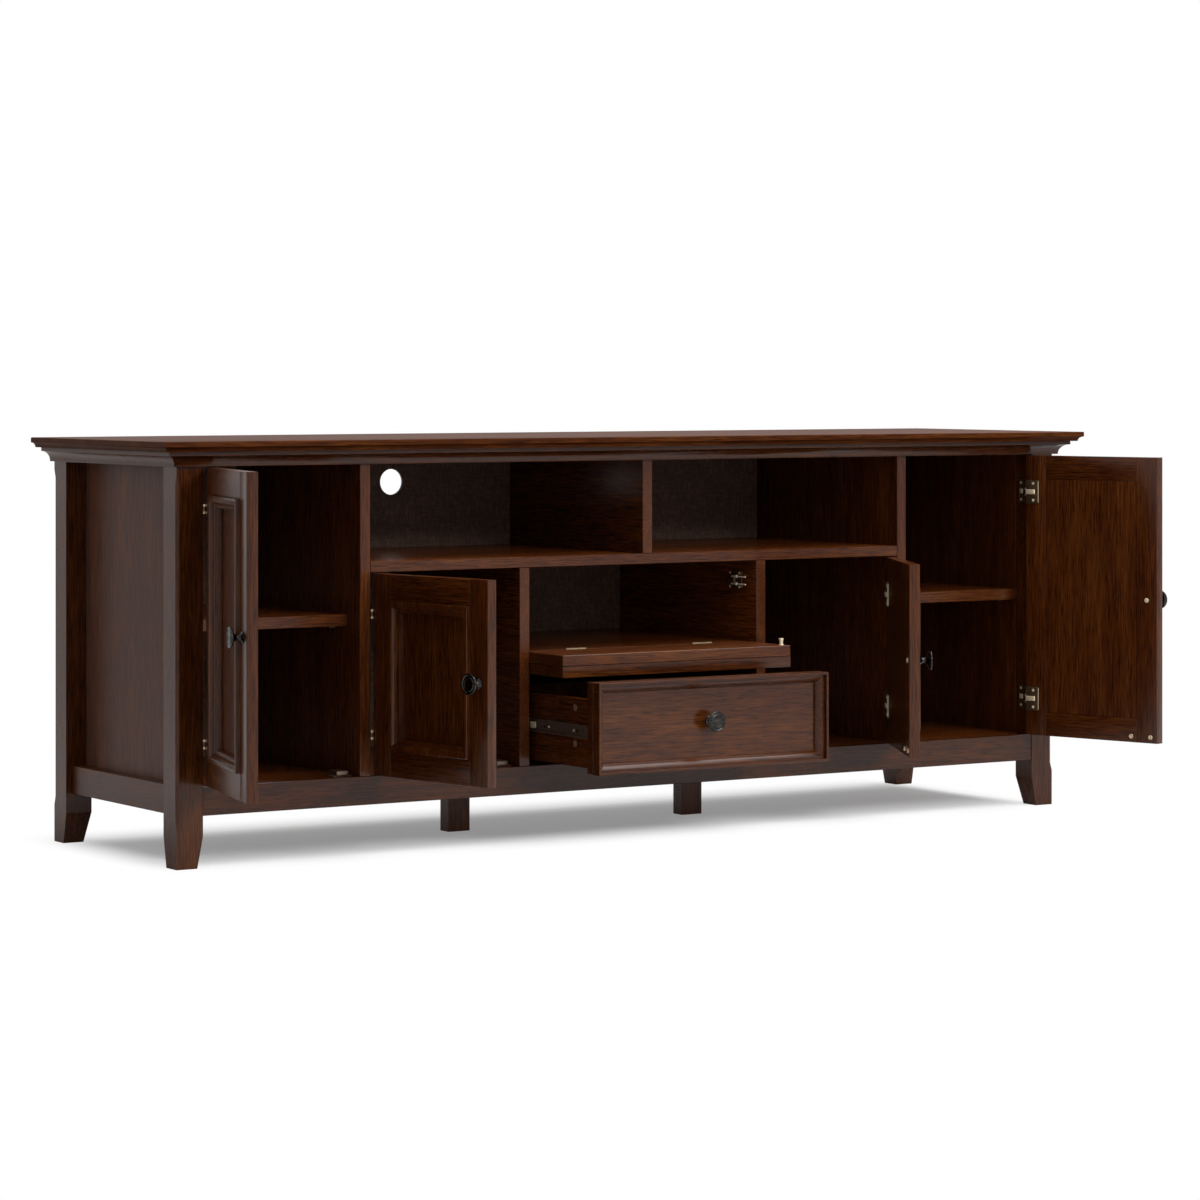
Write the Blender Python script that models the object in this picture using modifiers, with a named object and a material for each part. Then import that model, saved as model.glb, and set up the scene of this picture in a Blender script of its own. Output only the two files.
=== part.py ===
# TV stand: a corniced cabinet with four hinged doors, a drop flap and a drawer.
# Metres, +Z up, +Y to the back. The origin is on the floor under the middle of the case.

import math

import bmesh
import bpy
from mathutils import Matrix, Vector

# Overall sizes
TOP_WIDTH = 1.829
CASE_DEPTH = 0.454
HEIGHT = 0.670
SEAT = 0.0003

# Top slab and cornice
TOP_OVERHANG = 0.041
BACK_OVERHANG = 0.003
SLAB_THICKNESS = 0.0165
SLAB_COVE = 0.008
CORNICE_HEIGHT = 0.0235
CORNICE_FOOT = 0.008
CORNICE_LIP = 0.0015
CORNICE_COVE = 0.0158
COVE_STEPS = 5

# Posts and feet
POST = 0.046
FOOT_TIP = 0.036
FOOT_TAPER = 0.050
POST_CHAMFER = 0.0045
CHAMFER_START = 0.061
CHAMFER_END_DROP = 0.0365
CHAMFER_RUNOUT = 0.014
CENTRE_FOOT_WIDTH = 0.042
CENTRE_FOOT_DEPTH = 0.028

# Rails, panels and boards
RAIL_BOTTOM = 0.082
RAIL_HEIGHT = 0.046
RAIL_THICKNESS = 0.018
RAIL_RECESS = 0.001
SIDE_RAIL_RECESS = 0.011
SIDE_PANEL_THICKNESS = 0.010
BOTTOM_THICKNESS = 0.018
DIVIDER_THICKNESS = 0.019
SHELF_THICKNESS = 0.0175
BACK_PANEL_INSET = 0.022
BACK_PANEL_THICKNESS = 0.005
BACK_PANEL_DROP = 0.012
BOARD_ARRIS = 0.0007
ROD_SIDES = 16
HOLE_SIDES = 40

# Compartments
BAY_WIDTH = 0.281
MIDDLE_SHELF_TOP = 0.473
UPPER_DIVIDER_SHIFT = 0.005
ADJUSTABLE_SHELF_TOP = 0.387
ADJUSTABLE_SHELF_THICKNESS = 0.019
ADJUSTABLE_SHELF_SETBACK = 0.040
SHELF_PIN_RADIUS = 0.0025
SHELF_PIN_LENGTH = 0.009
SHELF_PIN_INSET = 0.045
CABLE_HOLE_DIAMETER = 0.045
CABLE_HOLE_OFFSET = 0.2825
CABLE_HOLE_DROP = 0.067

# Doors
DOOR_THICKNESS = 0.018
DOOR_GAP = 0.0015
HINGE_GAP = 0.0025
DOOR_FRAME_WIDTH = 0.042
BEAD_PROUD = 0.0075
BEAD_ROUND = 0.0012
BEAD_TOP = 0.0013
OVOLO_WIDTH = 0.010
OVOLO_STEPS = 5
HOLLOW_WIDTH = 0.006
HOLLOW_DEPTH = 0.003
INNER_FALL_WIDTH = 0.002
INNER_FALL_DEPTH = 0.0065
PANEL_LEDGE = 0.0125
LEFT_OUTER_ANGLE = 104.2
LEFT_INNER_ANGLE = 79.3
RIGHT_INNER_ANGLE = 61.5
RIGHT_OUTER_ANGLE = 106.3

# Door hinges
HINGE_END_DISTANCE = 0.065
HINGE_PROUD = 0.0024
KNUCKLE_RADIUS = 0.0022
BARREL_LENGTH = 0.015
FRAME_KNUCKLE_LENGTH = 0.0072
HINGE_TAB = 0.0016
HINGE_LEAF = 0.0012
HINGE_PLATE_HEIGHT = 0.042
DOOR_PLATE_WIDTH = 0.027
FRAME_PLATE_DEPTH = 0.016
LEAF_CLEARANCE = 0.0005
LET_IN = 0.0003

# Door catches
STRIKE_RADIUS = 0.004
STRIKE_THICKNESS = 0.0015
STRIKE_HEIGHT = 0.0105
STRIKE_FIRST = 0.013
STRIKE_SPACING = 0.040
CATCH_CLEARANCE = 0.0005
CATCH_WIDTH = 0.021
CATCH_DEPTH = 0.026
CATCH_HEIGHT = 0.0085
CATCH_PLATE_WIDTH = 0.036
CATCH_PLATE_THICKNESS = 0.0015
CATCH_OFFSET = 0.020

# Knobs
KNOB_RADIUS = 0.0170
KNOB_HEIGHT = 0.0225
KNOB_BASE_RADIUS = 0.0090
KNOB_NECK_RADIUS = 0.0045
# Knob outline from the middle of the face to the base: shares of the radius, then of the height
KNOB_FACE = ((0.0, 0.935), (0.30, 0.945), (0.50, 0.975), (0.62, 0.990), (0.70, 0.955),
             (0.82, 0.955), (0.91, 1.0), (1.0, 0.93), (1.0, 0.84), (0.88, 0.75), (0.62, 0.68), (0.34, 0.58))
KNOB_WAIST = (0.38, 0.30)
KNOB_FLARE = ((0.66, 0.18), (1.0, 0.07), (1.0, 0.0), (0.0, 0.0))
TURNING_STEPS = 24

# Applied mouldings on the flap and the drawer front
FRONT_GAP = 0.0010
MOULDING_THICKNESS = 0.0185
MOULDING_STRIP = 0.0043
MOULDING_STEP = 0.0065
MOULDING_LEDGE = 0.0040
MOULDING_BEVEL_WIDTH = 0.0093
MOULDING_BEVEL_DEPTH = 0.0105
FRONT_SLAB = 0.018

# Drop flap
FLAP_SHELF_TOP = 0.316
FLAP_SHELF_THICKNESS = 0.018
FLAP_TOP_GAP = 0.0193
FLAP_JOINT = 0.0034
FLAP_BARREL_RADIUS = 0.0024
FLAP_HINGE_LENGTH = 0.040
FLAP_HINGE_INSET = 0.100
FLAP_LEAF_HEIGHT = 0.014
PIN_INSET = 0.0167
PIN_SIDE_INSET = 0.0075
PIN_RADIUS = 0.0032
PIN_HEAD_RADIUS = 0.0039
PIN_LENGTH = 0.0113
PIN_HEAD = 0.0035

# Roller catch of the flap
ROLLER_ARM_RADIUS = 0.002
ROLLER_ARM_GAP = 0.0005
ROLLER_ARM_LENGTH = 0.038
ROLLER_ARM_START = 0.002
ROLLER_BODY = 0.016
ROLLER_PLATE_LENGTH = 0.037
ROLLER_PLATE_HEIGHT = 0.030
ROLLER_PLATE_THICKNESS = 0.002

# Drawer
DRAWER_OUT = 0.213
DRAWER_KNOB_RISE = 0.0025
DRAWER_TOP_GAP = 0.0015
DRAWER_BOTTOM_GAP = 0.002
DRAWER_SIDE = 0.012
DRAWER_LENGTH = 0.350
DRAWER_SIDE_DROP = 0.030
DRAWER_SIDE_LIFT = 0.007
DRAWER_BOTTOM_THICKNESS = 0.005
DRAWER_BOTTOM_LIFT = 0.010
DRAWER_GROOVE = 0.005
SLIDE_GAP = 0.0127
SLIDE_SHEET = 0.0012
SLIDE_HEIGHT = 0.027
SLIDE_BALL_ROW = 0.003
SLIDE_CASE_DEPTH = 0.0092
SLIDE_RUNNER_DEPTH = 0.0060
SLIDE_SETBACK = 0.002
SLIDE_RISE = 0.003

# Positions worked out from the sizes
CASE_WIDTH = TOP_WIDTH - 2 * TOP_OVERHANG
FRONT = -CASE_DEPTH / 2
BACK = CASE_DEPTH / 2
SLAB_BOTTOM = HEIGHT - SLAB_THICKNESS
CORNICE_BOTTOM = SLAB_BOTTOM - CORNICE_HEIGHT
RAIL_TOP = RAIL_BOTTOM + RAIL_HEIGHT
INNER_HALF = CASE_WIDTH / 2 - POST
TALL_OUTER = INNER_HALF - BAY_WIDTH
TALL_INNER = TALL_OUTER - DIVIDER_THICKNESS
LOW_OUTER = TALL_INNER - BAY_WIDTH
LOW_INNER = LOW_OUTER - DIVIDER_THICKNESS
BACK_FACE = BACK - BACK_PANEL_INSET
BOARD_BACK = BACK_FACE - SEAT
MIDDLE_SHELF_BOTTOM = MIDDLE_SHELF_TOP - SHELF_THICKNESS
FLAP_THICKNESS = FRONT_SLAB + MOULDING_THICKNESS
FLAP_PIVOT_Y = FRONT + FRONT_SLAB
FLAP_PIVOT_Z = FLAP_SHELF_TOP
FLAP_NEAR = FLAP_JOINT / 2
FLAP_FAR = MIDDLE_SHELF_BOTTOM - FLAP_TOP_GAP - FLAP_PIVOT_Z
FRONT_HALF = LOW_INNER - FRONT_GAP
DRAWER_FRONT_TOP = FLAP_SHELF_TOP - FLAP_THICKNESS - DRAWER_TOP_GAP
DRAWER_FRONT_BOTTOM = RAIL_TOP + DRAWER_BOTTOM_GAP
DRAWER_SIDE_TOP = DRAWER_FRONT_TOP - DRAWER_SIDE_DROP
DRAWER_SIDE_BOTTOM = DRAWER_FRONT_BOTTOM + DRAWER_SIDE_LIFT
SLIDE_Z = (DRAWER_SIDE_TOP + DRAWER_SIDE_BOTTOM) / 2 + SLIDE_RISE
SIDES = (("left", -1), ("right", 1))


# Scene and materials
for old in list(bpy.data.objects):
    bpy.data.objects.remove(old, do_unlink=True)


def new_collection(name):
    group = bpy.data.collections.new(name)
    bpy.context.scene.collection.children.link(group)
    return group


def new_material(name, color, roughness, metallic=0.0):
    material = bpy.data.materials.new(name)
    material.use_nodes = True
    shader = material.node_tree.nodes["Principled BSDF"]
    shader.inputs["Base Color"].default_value = (*color, 1.0)
    shader.inputs["Roughness"].default_value = roughness
    shader.inputs["Metallic"].default_value = metallic
    return material


PARTS = new_collection("tv_stand")
CUTTERS = new_collection("cutters")
STAIN = new_material("walnut_stain", (0.068, 0.022, 0.012), 0.38)
DARK_STAIN = new_material("inner_stain", (0.040, 0.014, 0.008), 0.45)
FIBREBOARD = new_material("dark_fibreboard", (0.024, 0.014, 0.012), 0.80)
BRONZE = new_material("dark_bronze", (0.020, 0.020, 0.020), 0.35, 0.9)
BRASS = new_material("antique_brass", (0.330, 0.235, 0.130), 0.38, 1.0)
STEEL = new_material("zinc_steel", (0.300, 0.280, 0.250), 0.42, 1.0)


# Modelling helpers
def add_object(name, bm, material, location=(0, 0, 0), parent=None):
    bmesh.ops.recalc_face_normals(bm, faces=bm.faces)
    mesh = bpy.data.meshes.new(name)
    bm.to_mesh(mesh)
    bm.free()
    obj = bpy.data.objects.new(name, mesh)
    obj.location = location
    obj.parent = parent
    if material is None:
        CUTTERS.objects.link(obj)
        obj.hide_render = True
        obj.display_type = "WIRE"
    else:
        PARTS.objects.link(obj)
        mesh.materials.append(material)
    return obj


def block(name, low, high, material, parent=None):
    size = Vector(high) - Vector(low)
    bm = bmesh.new()
    bmesh.ops.create_cube(bm, size=1.0, matrix=Matrix.Diagonal((*size, 1.0)))
    return add_object(name, bm, material, (Vector(low) + Vector(high)) / 2, parent)


def board(name, low, high, material, parent=None):
    obj = block(name, low, high, material, parent)
    arris = obj.modifiers.new("arris", "BEVEL")
    arris.width = BOARD_ARRIS
    arris.segments = 1
    return obj


def rod(name, radius, start, end, material, parent=None, sides=ROD_SIDES):
    start = Vector(start)
    run = Vector(end) - start
    turn = run.to_track_quat("Z", "Y").to_matrix().to_4x4()
    bm = bmesh.new()
    bmesh.ops.create_cone(bm, cap_ends=True, segments=sides, radius1=radius, radius2=radius,
                          depth=run.length, matrix=turn)
    return add_object(name, bm, material, start + run / 2, parent)


def loft(name, loops, material, closed=False, location=(0, 0, 0), parent=None):
    bm = bmesh.new()
    rings = [[bm.verts.new(point) for point in loop] for loop in loops]
    pairs = list(zip(rings, rings[1:]))
    if closed:
        pairs.append((rings[-1], rings[0]))
    else:
        bm.faces.new(rings[0])
        bm.faces.new(rings[-1])
    for first, second in pairs:
        for i in range(len(first)):
            j = (i + 1) % len(first)
            bm.faces.new((first[i], first[j], second[j], second[i]))
    return add_object(name, bm, material, location, parent)


def prism(name, outline, place, start, end, material, parent=None):
    loops = [[place(a, b, t) for a, b in outline] for t in (start, end)]
    return loft(name, loops, material, parent=parent)


def turned(name, profile, material, location, rotation, parent=None):
    bm = bmesh.new()
    points = [bm.verts.new((radius, 0.0, height)) for radius, height in profile]
    for first, second in zip(points, points[1:]):
        bm.edges.new((first, second))
    obj = add_object(name, bm, material, location, parent)
    obj.rotation_euler = rotation
    screw = obj.modifiers.new("turning", "SCREW")
    screw.steps = TURNING_STEPS
    screw.render_steps = TURNING_STEPS
    screw.use_merge_vertices = True
    screw.merge_threshold = 0.00001
    screw.use_smooth_shade = True
    return obj


def combine(target, tool, operation):
    modifier = target.modifiers.new(operation.lower(), "BOOLEAN")
    modifier.operation = operation
    modifier.solver = "EXACT"
    modifier.object = tool


def cut(target, tool):
    combine(target, tool, "DIFFERENCE")


def weld(target, tool):
    combine(target, tool, "UNION")


def axis_empty(name, location, parent=None):
    empty = bpy.data.objects.new(name, None)
    empty.empty_display_size = 0.03
    empty.location = location
    empty.parent = parent
    PARTS.objects.link(empty)
    return empty


def quarter_cove(start, end, steps):
    # Hollow quarter round that leaves the start point along the second coordinate
    width = end[0] - start[0]
    rise = end[1] - start[1]
    angles = [math.radians(90 * i / steps) for i in range(steps + 1)]
    return [(end[0] - width * math.cos(a), start[1] + rise * math.sin(a)) for a in angles]


def rectangle(half_width, low, high, z):
    return [(-half_width, low, z), (half_width, low, z), (half_width, high, z), (-half_width, high, z)]


def frame_ring(name, low, high, section, material, parent, hand=1):
    # Mitred frame: the section holds (distance in from the edge, depth from the face)
    corners = ((low[0], low[2], 1, 1), (high[0], low[2], -1, 1),
               (high[0], high[2], -1, -1), (low[0], high[2], 1, -1))
    loops = []
    for x, z, step_x, step_z in corners:
        loops.append([(hand * (x + step_x * u), low[1] + v, z + step_z * u) for u, v in section])
    return loft(name, loops, material, closed=True, parent=parent)


# Top slab and cornice
def top_panel():
    cove_top = SLAB_BOTTOM + SLAB_COVE
    edge = quarter_cove((TOP_OVERHANG - SLAB_COVE, SLAB_BOTTOM), (TOP_OVERHANG, cove_top), COVE_STEPS)
    edge.append((TOP_OVERHANG, HEIGHT - BOARD_ARRIS))
    edge.append((TOP_OVERHANG - BOARD_ARRIS, HEIGHT))
    loops = [rectangle(CASE_WIDTH / 2 + out, FRONT - out, BACK + BACK_OVERHANG, z) for out, z in edge]
    loft("top_panel", loops, STAIN)


def cornice():
    top = SLAB_BOTTOM - SEAT
    lip = CORNICE_BOTTOM + CORNICE_LIP
    reach = CORNICE_FOOT + CORNICE_COVE
    profile = [(SEAT, CORNICE_BOTTOM), (CORNICE_FOOT, CORNICE_BOTTOM)]
    profile += quarter_cove((CORNICE_FOOT, lip), (reach, lip + CORNICE_COVE), COVE_STEPS)
    profile += [(reach, top), (SEAT, top)]
    half = CASE_WIDTH / 2
    loops = [[(side * (half + out - SEAT), FRONT - out, z) for out, z in profile] for side in (-1, 1)]
    loft("cornice_front", loops, STAIN)
    for word, side in SIDES:
        front_end = [(side * (half + out), FRONT - out + SEAT, z) for out, z in profile]
        back_end = [(side * (half + out), BACK, z) for out, z in profile]
        loft("cornice_" + word, [front_end, back_end], STAIN)


# Posts, feet and case boards
def post(name, side, depth_side):
    outer = POST / 2
    levels = ((0.0, FOOT_TIP), (FOOT_TAPER, POST), (SLAB_BOTTOM - SEAT, POST))
    loops = []
    for z, width in levels:
        inner = outer - width
        corners = ((inner, inner), (outer, inner), (outer, outer), (inner, outer))
        loops.append([(side * x, depth_side * y, z) for x, y in corners])
    centre = (side * (CASE_WIDTH / 2 - outer), depth_side * (CASE_DEPTH / 2 - outer), 0.0)
    leg = loft(name, loops, STAIN, location=centre)
    depth = POST_CHAMFER / math.sqrt(2)
    plane = outer * math.sqrt(2) - depth
    reach = 2 * depth
    start = CHAMFER_START + CHAMFER_RUNOUT
    end = SLAB_BOTTOM - CHAMFER_END_DROP - CHAMFER_RUNOUT
    spread = CHAMFER_RUNOUT * reach / depth
    sheet = [(plane, -POST, start), (plane, POST, start), (plane, POST, end), (plane, -POST, end)]
    wide = [(plane + reach, -POST, start - spread), (plane + reach, POST, start - spread),
            (plane + reach, POST, end + spread), (plane + reach, -POST, end + spread)]
    knife = loft(name + "_chamfer", [sheet, wide], None, location=centre)
    knife.rotation_euler = (0.0, 0.0, math.atan2(depth_side, side))
    cut(leg, knife)


def case_frame():
    for word, side in SIDES:
        post("front_" + word + "_post", side, -1)
        post("back_" + word + "_post", side, 1)
        outer_face = CASE_WIDTH / 2 - SIDE_RAIL_RECESS
        panel_face = INNER_HALF + SIDE_PANEL_THICKNESS
        edges = sorted((side * outer_face, side * (panel_face + SEAT)))
        board("side_bottom_rail_" + word, (edges[0], FRONT + POST + SEAT, RAIL_BOTTOM),
              (edges[1], BACK - POST - SEAT, RAIL_TOP), STAIN)
        edges = sorted((side * INNER_HALF, side * panel_face))
        panel = board("side_panel_" + word, (edges[0], FRONT + POST + SEAT, RAIL_BOTTOM),
                      (edges[1], BACK - POST - SEAT, SLAB_BOTTOM - SEAT), STAIN)
        shelf_pins(panel, side * INNER_HALF, -side)
        foot_x = side * (LOW_INNER + DIVIDER_THICKNESS / 2)
        board("centre_foot_" + word, (foot_x - CENTRE_FOOT_WIDTH / 2, -CENTRE_FOOT_DEPTH / 2, 0.0),
              (foot_x + CENTRE_FOOT_WIDTH / 2, CENTRE_FOOT_DEPTH / 2, RAIL_TOP - BOTTOM_THICKNESS - SEAT),
              STAIN)
    rail_back = FRONT + RAIL_RECESS + RAIL_THICKNESS
    width = INNER_HALF - SEAT
    board("front_bottom_rail", (-width, FRONT + RAIL_RECESS, RAIL_BOTTOM),
          (width, rail_back, RAIL_TOP), STAIN)
    floor = board("bottom_panel", (-width, rail_back + SEAT, RAIL_TOP - BOTTOM_THICKNESS),
                  (width, BOARD_BACK, RAIL_TOP), DARK_STAIN)
    for word, side in SIDES:
        door_catch(floor, word + "_outer", side * (TALL_OUTER + DOOR_GAP + CATCH_OFFSET))
        door_catch(floor, word + "_inner", side * (LOW_OUTER + DOOR_GAP + CATCH_OFFSET))


def shelf_pins(carrier, face, direction):
    z = ADJUSTABLE_SHELF_TOP - ADJUSTABLE_SHELF_THICKNESS - SHELF_PIN_RADIUS - SEAT
    near = FRONT + ADJUSTABLE_SHELF_SETBACK + SHELF_PIN_INSET
    far = BACK - POST - SHELF_PIN_INSET
    for word, y in (("front", near), ("back", far)):
        start = face - direction * SIDE_PANEL_THICKNESS / 2
        pin = rod(carrier.name + "_pin_" + word, SHELF_PIN_RADIUS, (start, y, z),
                  (face + direction * SHELF_PIN_LENGTH, y, z), None)
        weld(carrier, pin)


def door_catch(floor, name, x):
    front = FRONT + DOOR_THICKNESS + STRIKE_THICKNESS + CATCH_CLEARANCE
    base = RAIL_TOP - CATCH_PLATE_THICKNESS
    plate = block(name + "_catch_plate", (x - CATCH_PLATE_WIDTH / 2, front, base),
                  (x + CATCH_PLATE_WIDTH / 2, front + CATCH_DEPTH, RAIL_TOP + CATCH_PLATE_THICKNESS), None)
    body = block(name + "_catch_body", (x - CATCH_WIDTH / 2, front, base),
                 (x + CATCH_WIDTH / 2, front + CATCH_DEPTH, RAIL_TOP + CATCH_HEIGHT), None)
    weld(floor, plate)
    weld(floor, body)


def upright(name, x, bottom, top):
    half = DIVIDER_THICKNESS / 2
    return board(name, (x - half, FRONT, bottom + SEAT), (x + half, BOARD_BACK, top - SEAT), DARK_STAIN)


def dividers_and_shelves():
    for word, side in SIDES:
        tall_x = side * (TALL_OUTER + TALL_INNER) / 2
        tall = upright("tall_divider_" + word, tall_x, RAIL_TOP, SLAB_BOTTOM)
        shelf_pins(tall, side * TALL_OUTER, side)
        low_x = side * (LOW_OUTER + LOW_INNER) / 2
        upright("lower_divider_" + word, low_x, RAIL_TOP, MIDDLE_SHELF_BOTTOM)
        edges = sorted((side * (TALL_OUTER + SEAT), side * (INNER_HALF - SEAT)))
        board("adjustable_shelf_" + word,
              (edges[0], FRONT + ADJUSTABLE_SHELF_SETBACK,
               ADJUSTABLE_SHELF_TOP - ADJUSTABLE_SHELF_THICKNESS),
              (edges[1], BOARD_BACK, ADJUSTABLE_SHELF_TOP), DARK_STAIN)
    upright("upper_divider", UPPER_DIVIDER_SHIFT, MIDDLE_SHELF_TOP, SLAB_BOTTOM)
    half = TALL_INNER - SEAT
    board("middle_shelf", (-half, FRONT, MIDDLE_SHELF_BOTTOM),
          (half, BOARD_BACK, MIDDLE_SHELF_TOP), DARK_STAIN)


def back_panel():
    half = INNER_HALF - SEAT
    low = (-half, BACK_FACE, RAIL_TOP - BOTTOM_THICKNESS - BACK_PANEL_DROP)
    high = (half, BACK_FACE + BACK_PANEL_THICKNESS, SLAB_BOTTOM - SEAT)
    panel = block("back_panel", low, high, FIBREBOARD)
    x = -TALL_INNER + CABLE_HOLE_OFFSET
    z = SLAB_BOTTOM - CABLE_HOLE_DROP
    drill = rod("cable_hole", CABLE_HOLE_DIAMETER / 2, (x, BACK_FACE - BACK_PANEL_THICKNESS, z),
                (x, BACK_FACE + 2 * BACK_PANEL_THICKNESS, z), None, sides=HOLE_SIDES)
    cut(panel, drill)


# Knobs
def knob(name, location, parent):
    profile = [(r * KNOB_RADIUS, h * KNOB_HEIGHT) for r, h in KNOB_FACE]
    profile += [(KNOB_NECK_RADIUS, h * KNOB_HEIGHT) for h in KNOB_WAIST]
    profile += [(r * KNOB_BASE_RADIUS, h * KNOB_HEIGHT) for r, h in KNOB_FLARE]
    turned(name, profile, BRONZE, location, (math.radians(90), 0.0, 0.0), parent)


# Doors and their hinges
def door_section():
    # Flat frame, then a proud bead that rounds over and falls to the panel
    edge = DOOR_FRAME_WIDTH
    section = [(0.0, DOOR_THICKNESS), (0.0, 0.0), (edge, 0.0), (edge, BEAD_ROUND - BEAD_PROUD),
               (edge + BEAD_ROUND, -BEAD_PROUD)]
    start = edge + BEAD_ROUND + BEAD_TOP
    for i in range(OVOLO_STEPS + 1):
        a = math.radians(90 * i / OVOLO_STEPS)
        section.append((start + OVOLO_WIDTH * math.sin(a), -BEAD_PROUD * math.cos(a)))
    hollow = start + OVOLO_WIDTH + HOLLOW_WIDTH
    inner = hollow + INNER_FALL_WIDTH
    section += [(hollow, HOLLOW_DEPTH), (inner, HOLLOW_DEPTH + INNER_FALL_DEPTH), (inner, PANEL_LEDGE),
                (edge, PANEL_LEDGE), (edge, DOOR_THICKNESS)]
    return section


def door_panel(name, low, high, hand, inset, parent):
    xs = sorted((hand * (low[0] + inset), hand * (high[0] - inset)))
    block(name, (xs[0], low[1] + PANEL_LEDGE + SEAT, low[2] + inset),
          (xs[1], high[1], high[2] - inset), STAIN, parent)


def hinge_tools(frame, name, hand, z, parent):
    # Leaf, tabs and outer knuckles that are screwed to the door
    half = FRAME_KNUCKLE_LENGTH / 2 + SEAT
    inside = HINGE_PROUD + DOOR_THICKNESS
    edge = HINGE_GAP / 2
    for word, way in (("low", -1), ("high", 1)):
        span = sorted((z + way * half, z + way * BARREL_LENGTH / 2))
        xs = sorted((-hand * HINGE_TAB / 2, hand * (edge + LET_IN)))
        tab = block(name + "_tab_" + word, (xs[0], 0.0, span[0]),
                    (xs[1], inside + HINGE_LEAF, span[1]), None, parent)
        pin = rod(name + "_knuckle_" + word, KNUCKLE_RADIUS, (0, 0, span[0]), (0, 0, span[1]), None,
                  parent)
        weld(frame, tab)
        weld(frame, pin)
    xs = sorted((hand * edge, hand * (edge + DOOR_PLATE_WIDTH)))
    plate = block(name + "_plate", (xs[0], inside - LET_IN, z - HINGE_PLATE_HEIGHT / 2),
                  (xs[1], inside + HINGE_LEAF, z + HINGE_PLATE_HEIGHT / 2), None, parent)
    weld(frame, plate)


def hinge_leaf(name, hand, z, pivot):
    # Flag-shaped leaf on the post or divider, with the middle knuckle
    near = HINGE_PROUD + DOOR_THICKNESS + HINGE_LEAF + LEAF_CLEARANCE
    far = near + FRAME_PLATE_DEPTH
    half = FRAME_KNUCKLE_LENGTH / 2
    tall = HINGE_PLATE_HEIGHT / 2
    outline = [(0.0, -half), (near, -half), (near, -tall), (far, -tall),
               (far, tall), (near, tall), (near, half), (0.0, half)]
    axis = (pivot[0], pivot[1], z)
    outer = -hand * (HINGE_GAP / 2 - SEAT)
    inner = hand * HINGE_TAB / 2
    leaf = prism(name, outline, lambda y, h, x: (x, y, h), outer, inner, BRASS)
    leaf.location = axis
    barrel = rod(name + "_barrel", KNUCKLE_RADIUS, (axis[0], axis[1], z - half),
                 (axis[0], axis[1], z + half), None)
    weld(leaf, barrel)


def door(name, hinge_x, hand, bottom, top, angle):
    pivot = (hinge_x + hand * HINGE_GAP / 2, FRONT - HINGE_PROUD, 0.0)
    swing = axis_empty(name + "_hinge_axis", pivot)
    swing.rotation_euler = (0.0, 0.0, -hand * math.radians(angle))
    width = BAY_WIDTH - HINGE_GAP - DOOR_GAP
    low = (HINGE_GAP / 2, HINGE_PROUD, bottom + DOOR_GAP)
    high = (HINGE_GAP / 2 + width, HINGE_PROUD + DOOR_THICKNESS, top - DOOR_GAP)
    section = door_section()
    frame = frame_ring(name + "_frame", low, high, section, STAIN, swing, hand)
    door_panel(name + "_panel", low, high, hand, DOOR_FRAME_WIDTH + SEAT, swing)
    stile = hand * (high[0] - DOOR_FRAME_WIDTH / 2)
    knob(name + "_knob", (stile, HINGE_PROUD - SEAT, (low[2] + high[2]) / 2), swing)
    for word, z in (("lower", low[2] + HINGE_END_DISTANCE), ("upper", high[2] - HINGE_END_DISTANCE)):
        hinge_tools(frame, name + "_" + word, hand, z, swing)
        hinge_leaf(name + "_hinge_" + word, hand, z, pivot)
    for i in range(2):
        x = hand * (high[0] - STRIKE_FIRST - i * STRIKE_SPACING)
        z = low[2] + STRIKE_HEIGHT
        disc = rod(name + "_strike_" + str(i), STRIKE_RADIUS, (x, high[1] - LET_IN, z),
                   (x, high[1] + STRIKE_THICKNESS, z), None, swing)
        weld(frame, disc)


def doors():
    top = CORNICE_BOTTOM
    low_top = MIDDLE_SHELF_BOTTOM
    door("left_outer_door", -INNER_HALF, 1, RAIL_TOP, top, LEFT_OUTER_ANGLE)
    door("left_inner_door", -TALL_INNER, 1, RAIL_TOP, low_top, LEFT_INNER_ANGLE)
    door("right_inner_door", TALL_INNER, -1, RAIL_TOP, low_top, RIGHT_INNER_ANGLE)
    door("right_outer_door", INNER_HALF, -1, RAIL_TOP, top, RIGHT_OUTER_ANGLE)


# Drop flap, its shelf, hinges and roller catch
def moulding_section():
    # Narrow strip, a step down to a ledge, then a bevel that falls towards the slab
    ledge_end = MOULDING_STRIP + MOULDING_LEDGE
    bevel_end = ledge_end + MOULDING_BEVEL_WIDTH
    return [(0.0, MOULDING_THICKNESS), (0.0, 0.0), (MOULDING_STRIP, 0.0), (MOULDING_STRIP, MOULDING_STEP),
            (ledge_end, MOULDING_STEP), (bevel_end, MOULDING_STEP + MOULDING_BEVEL_DEPTH),
            (bevel_end, MOULDING_THICKNESS)]


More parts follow.
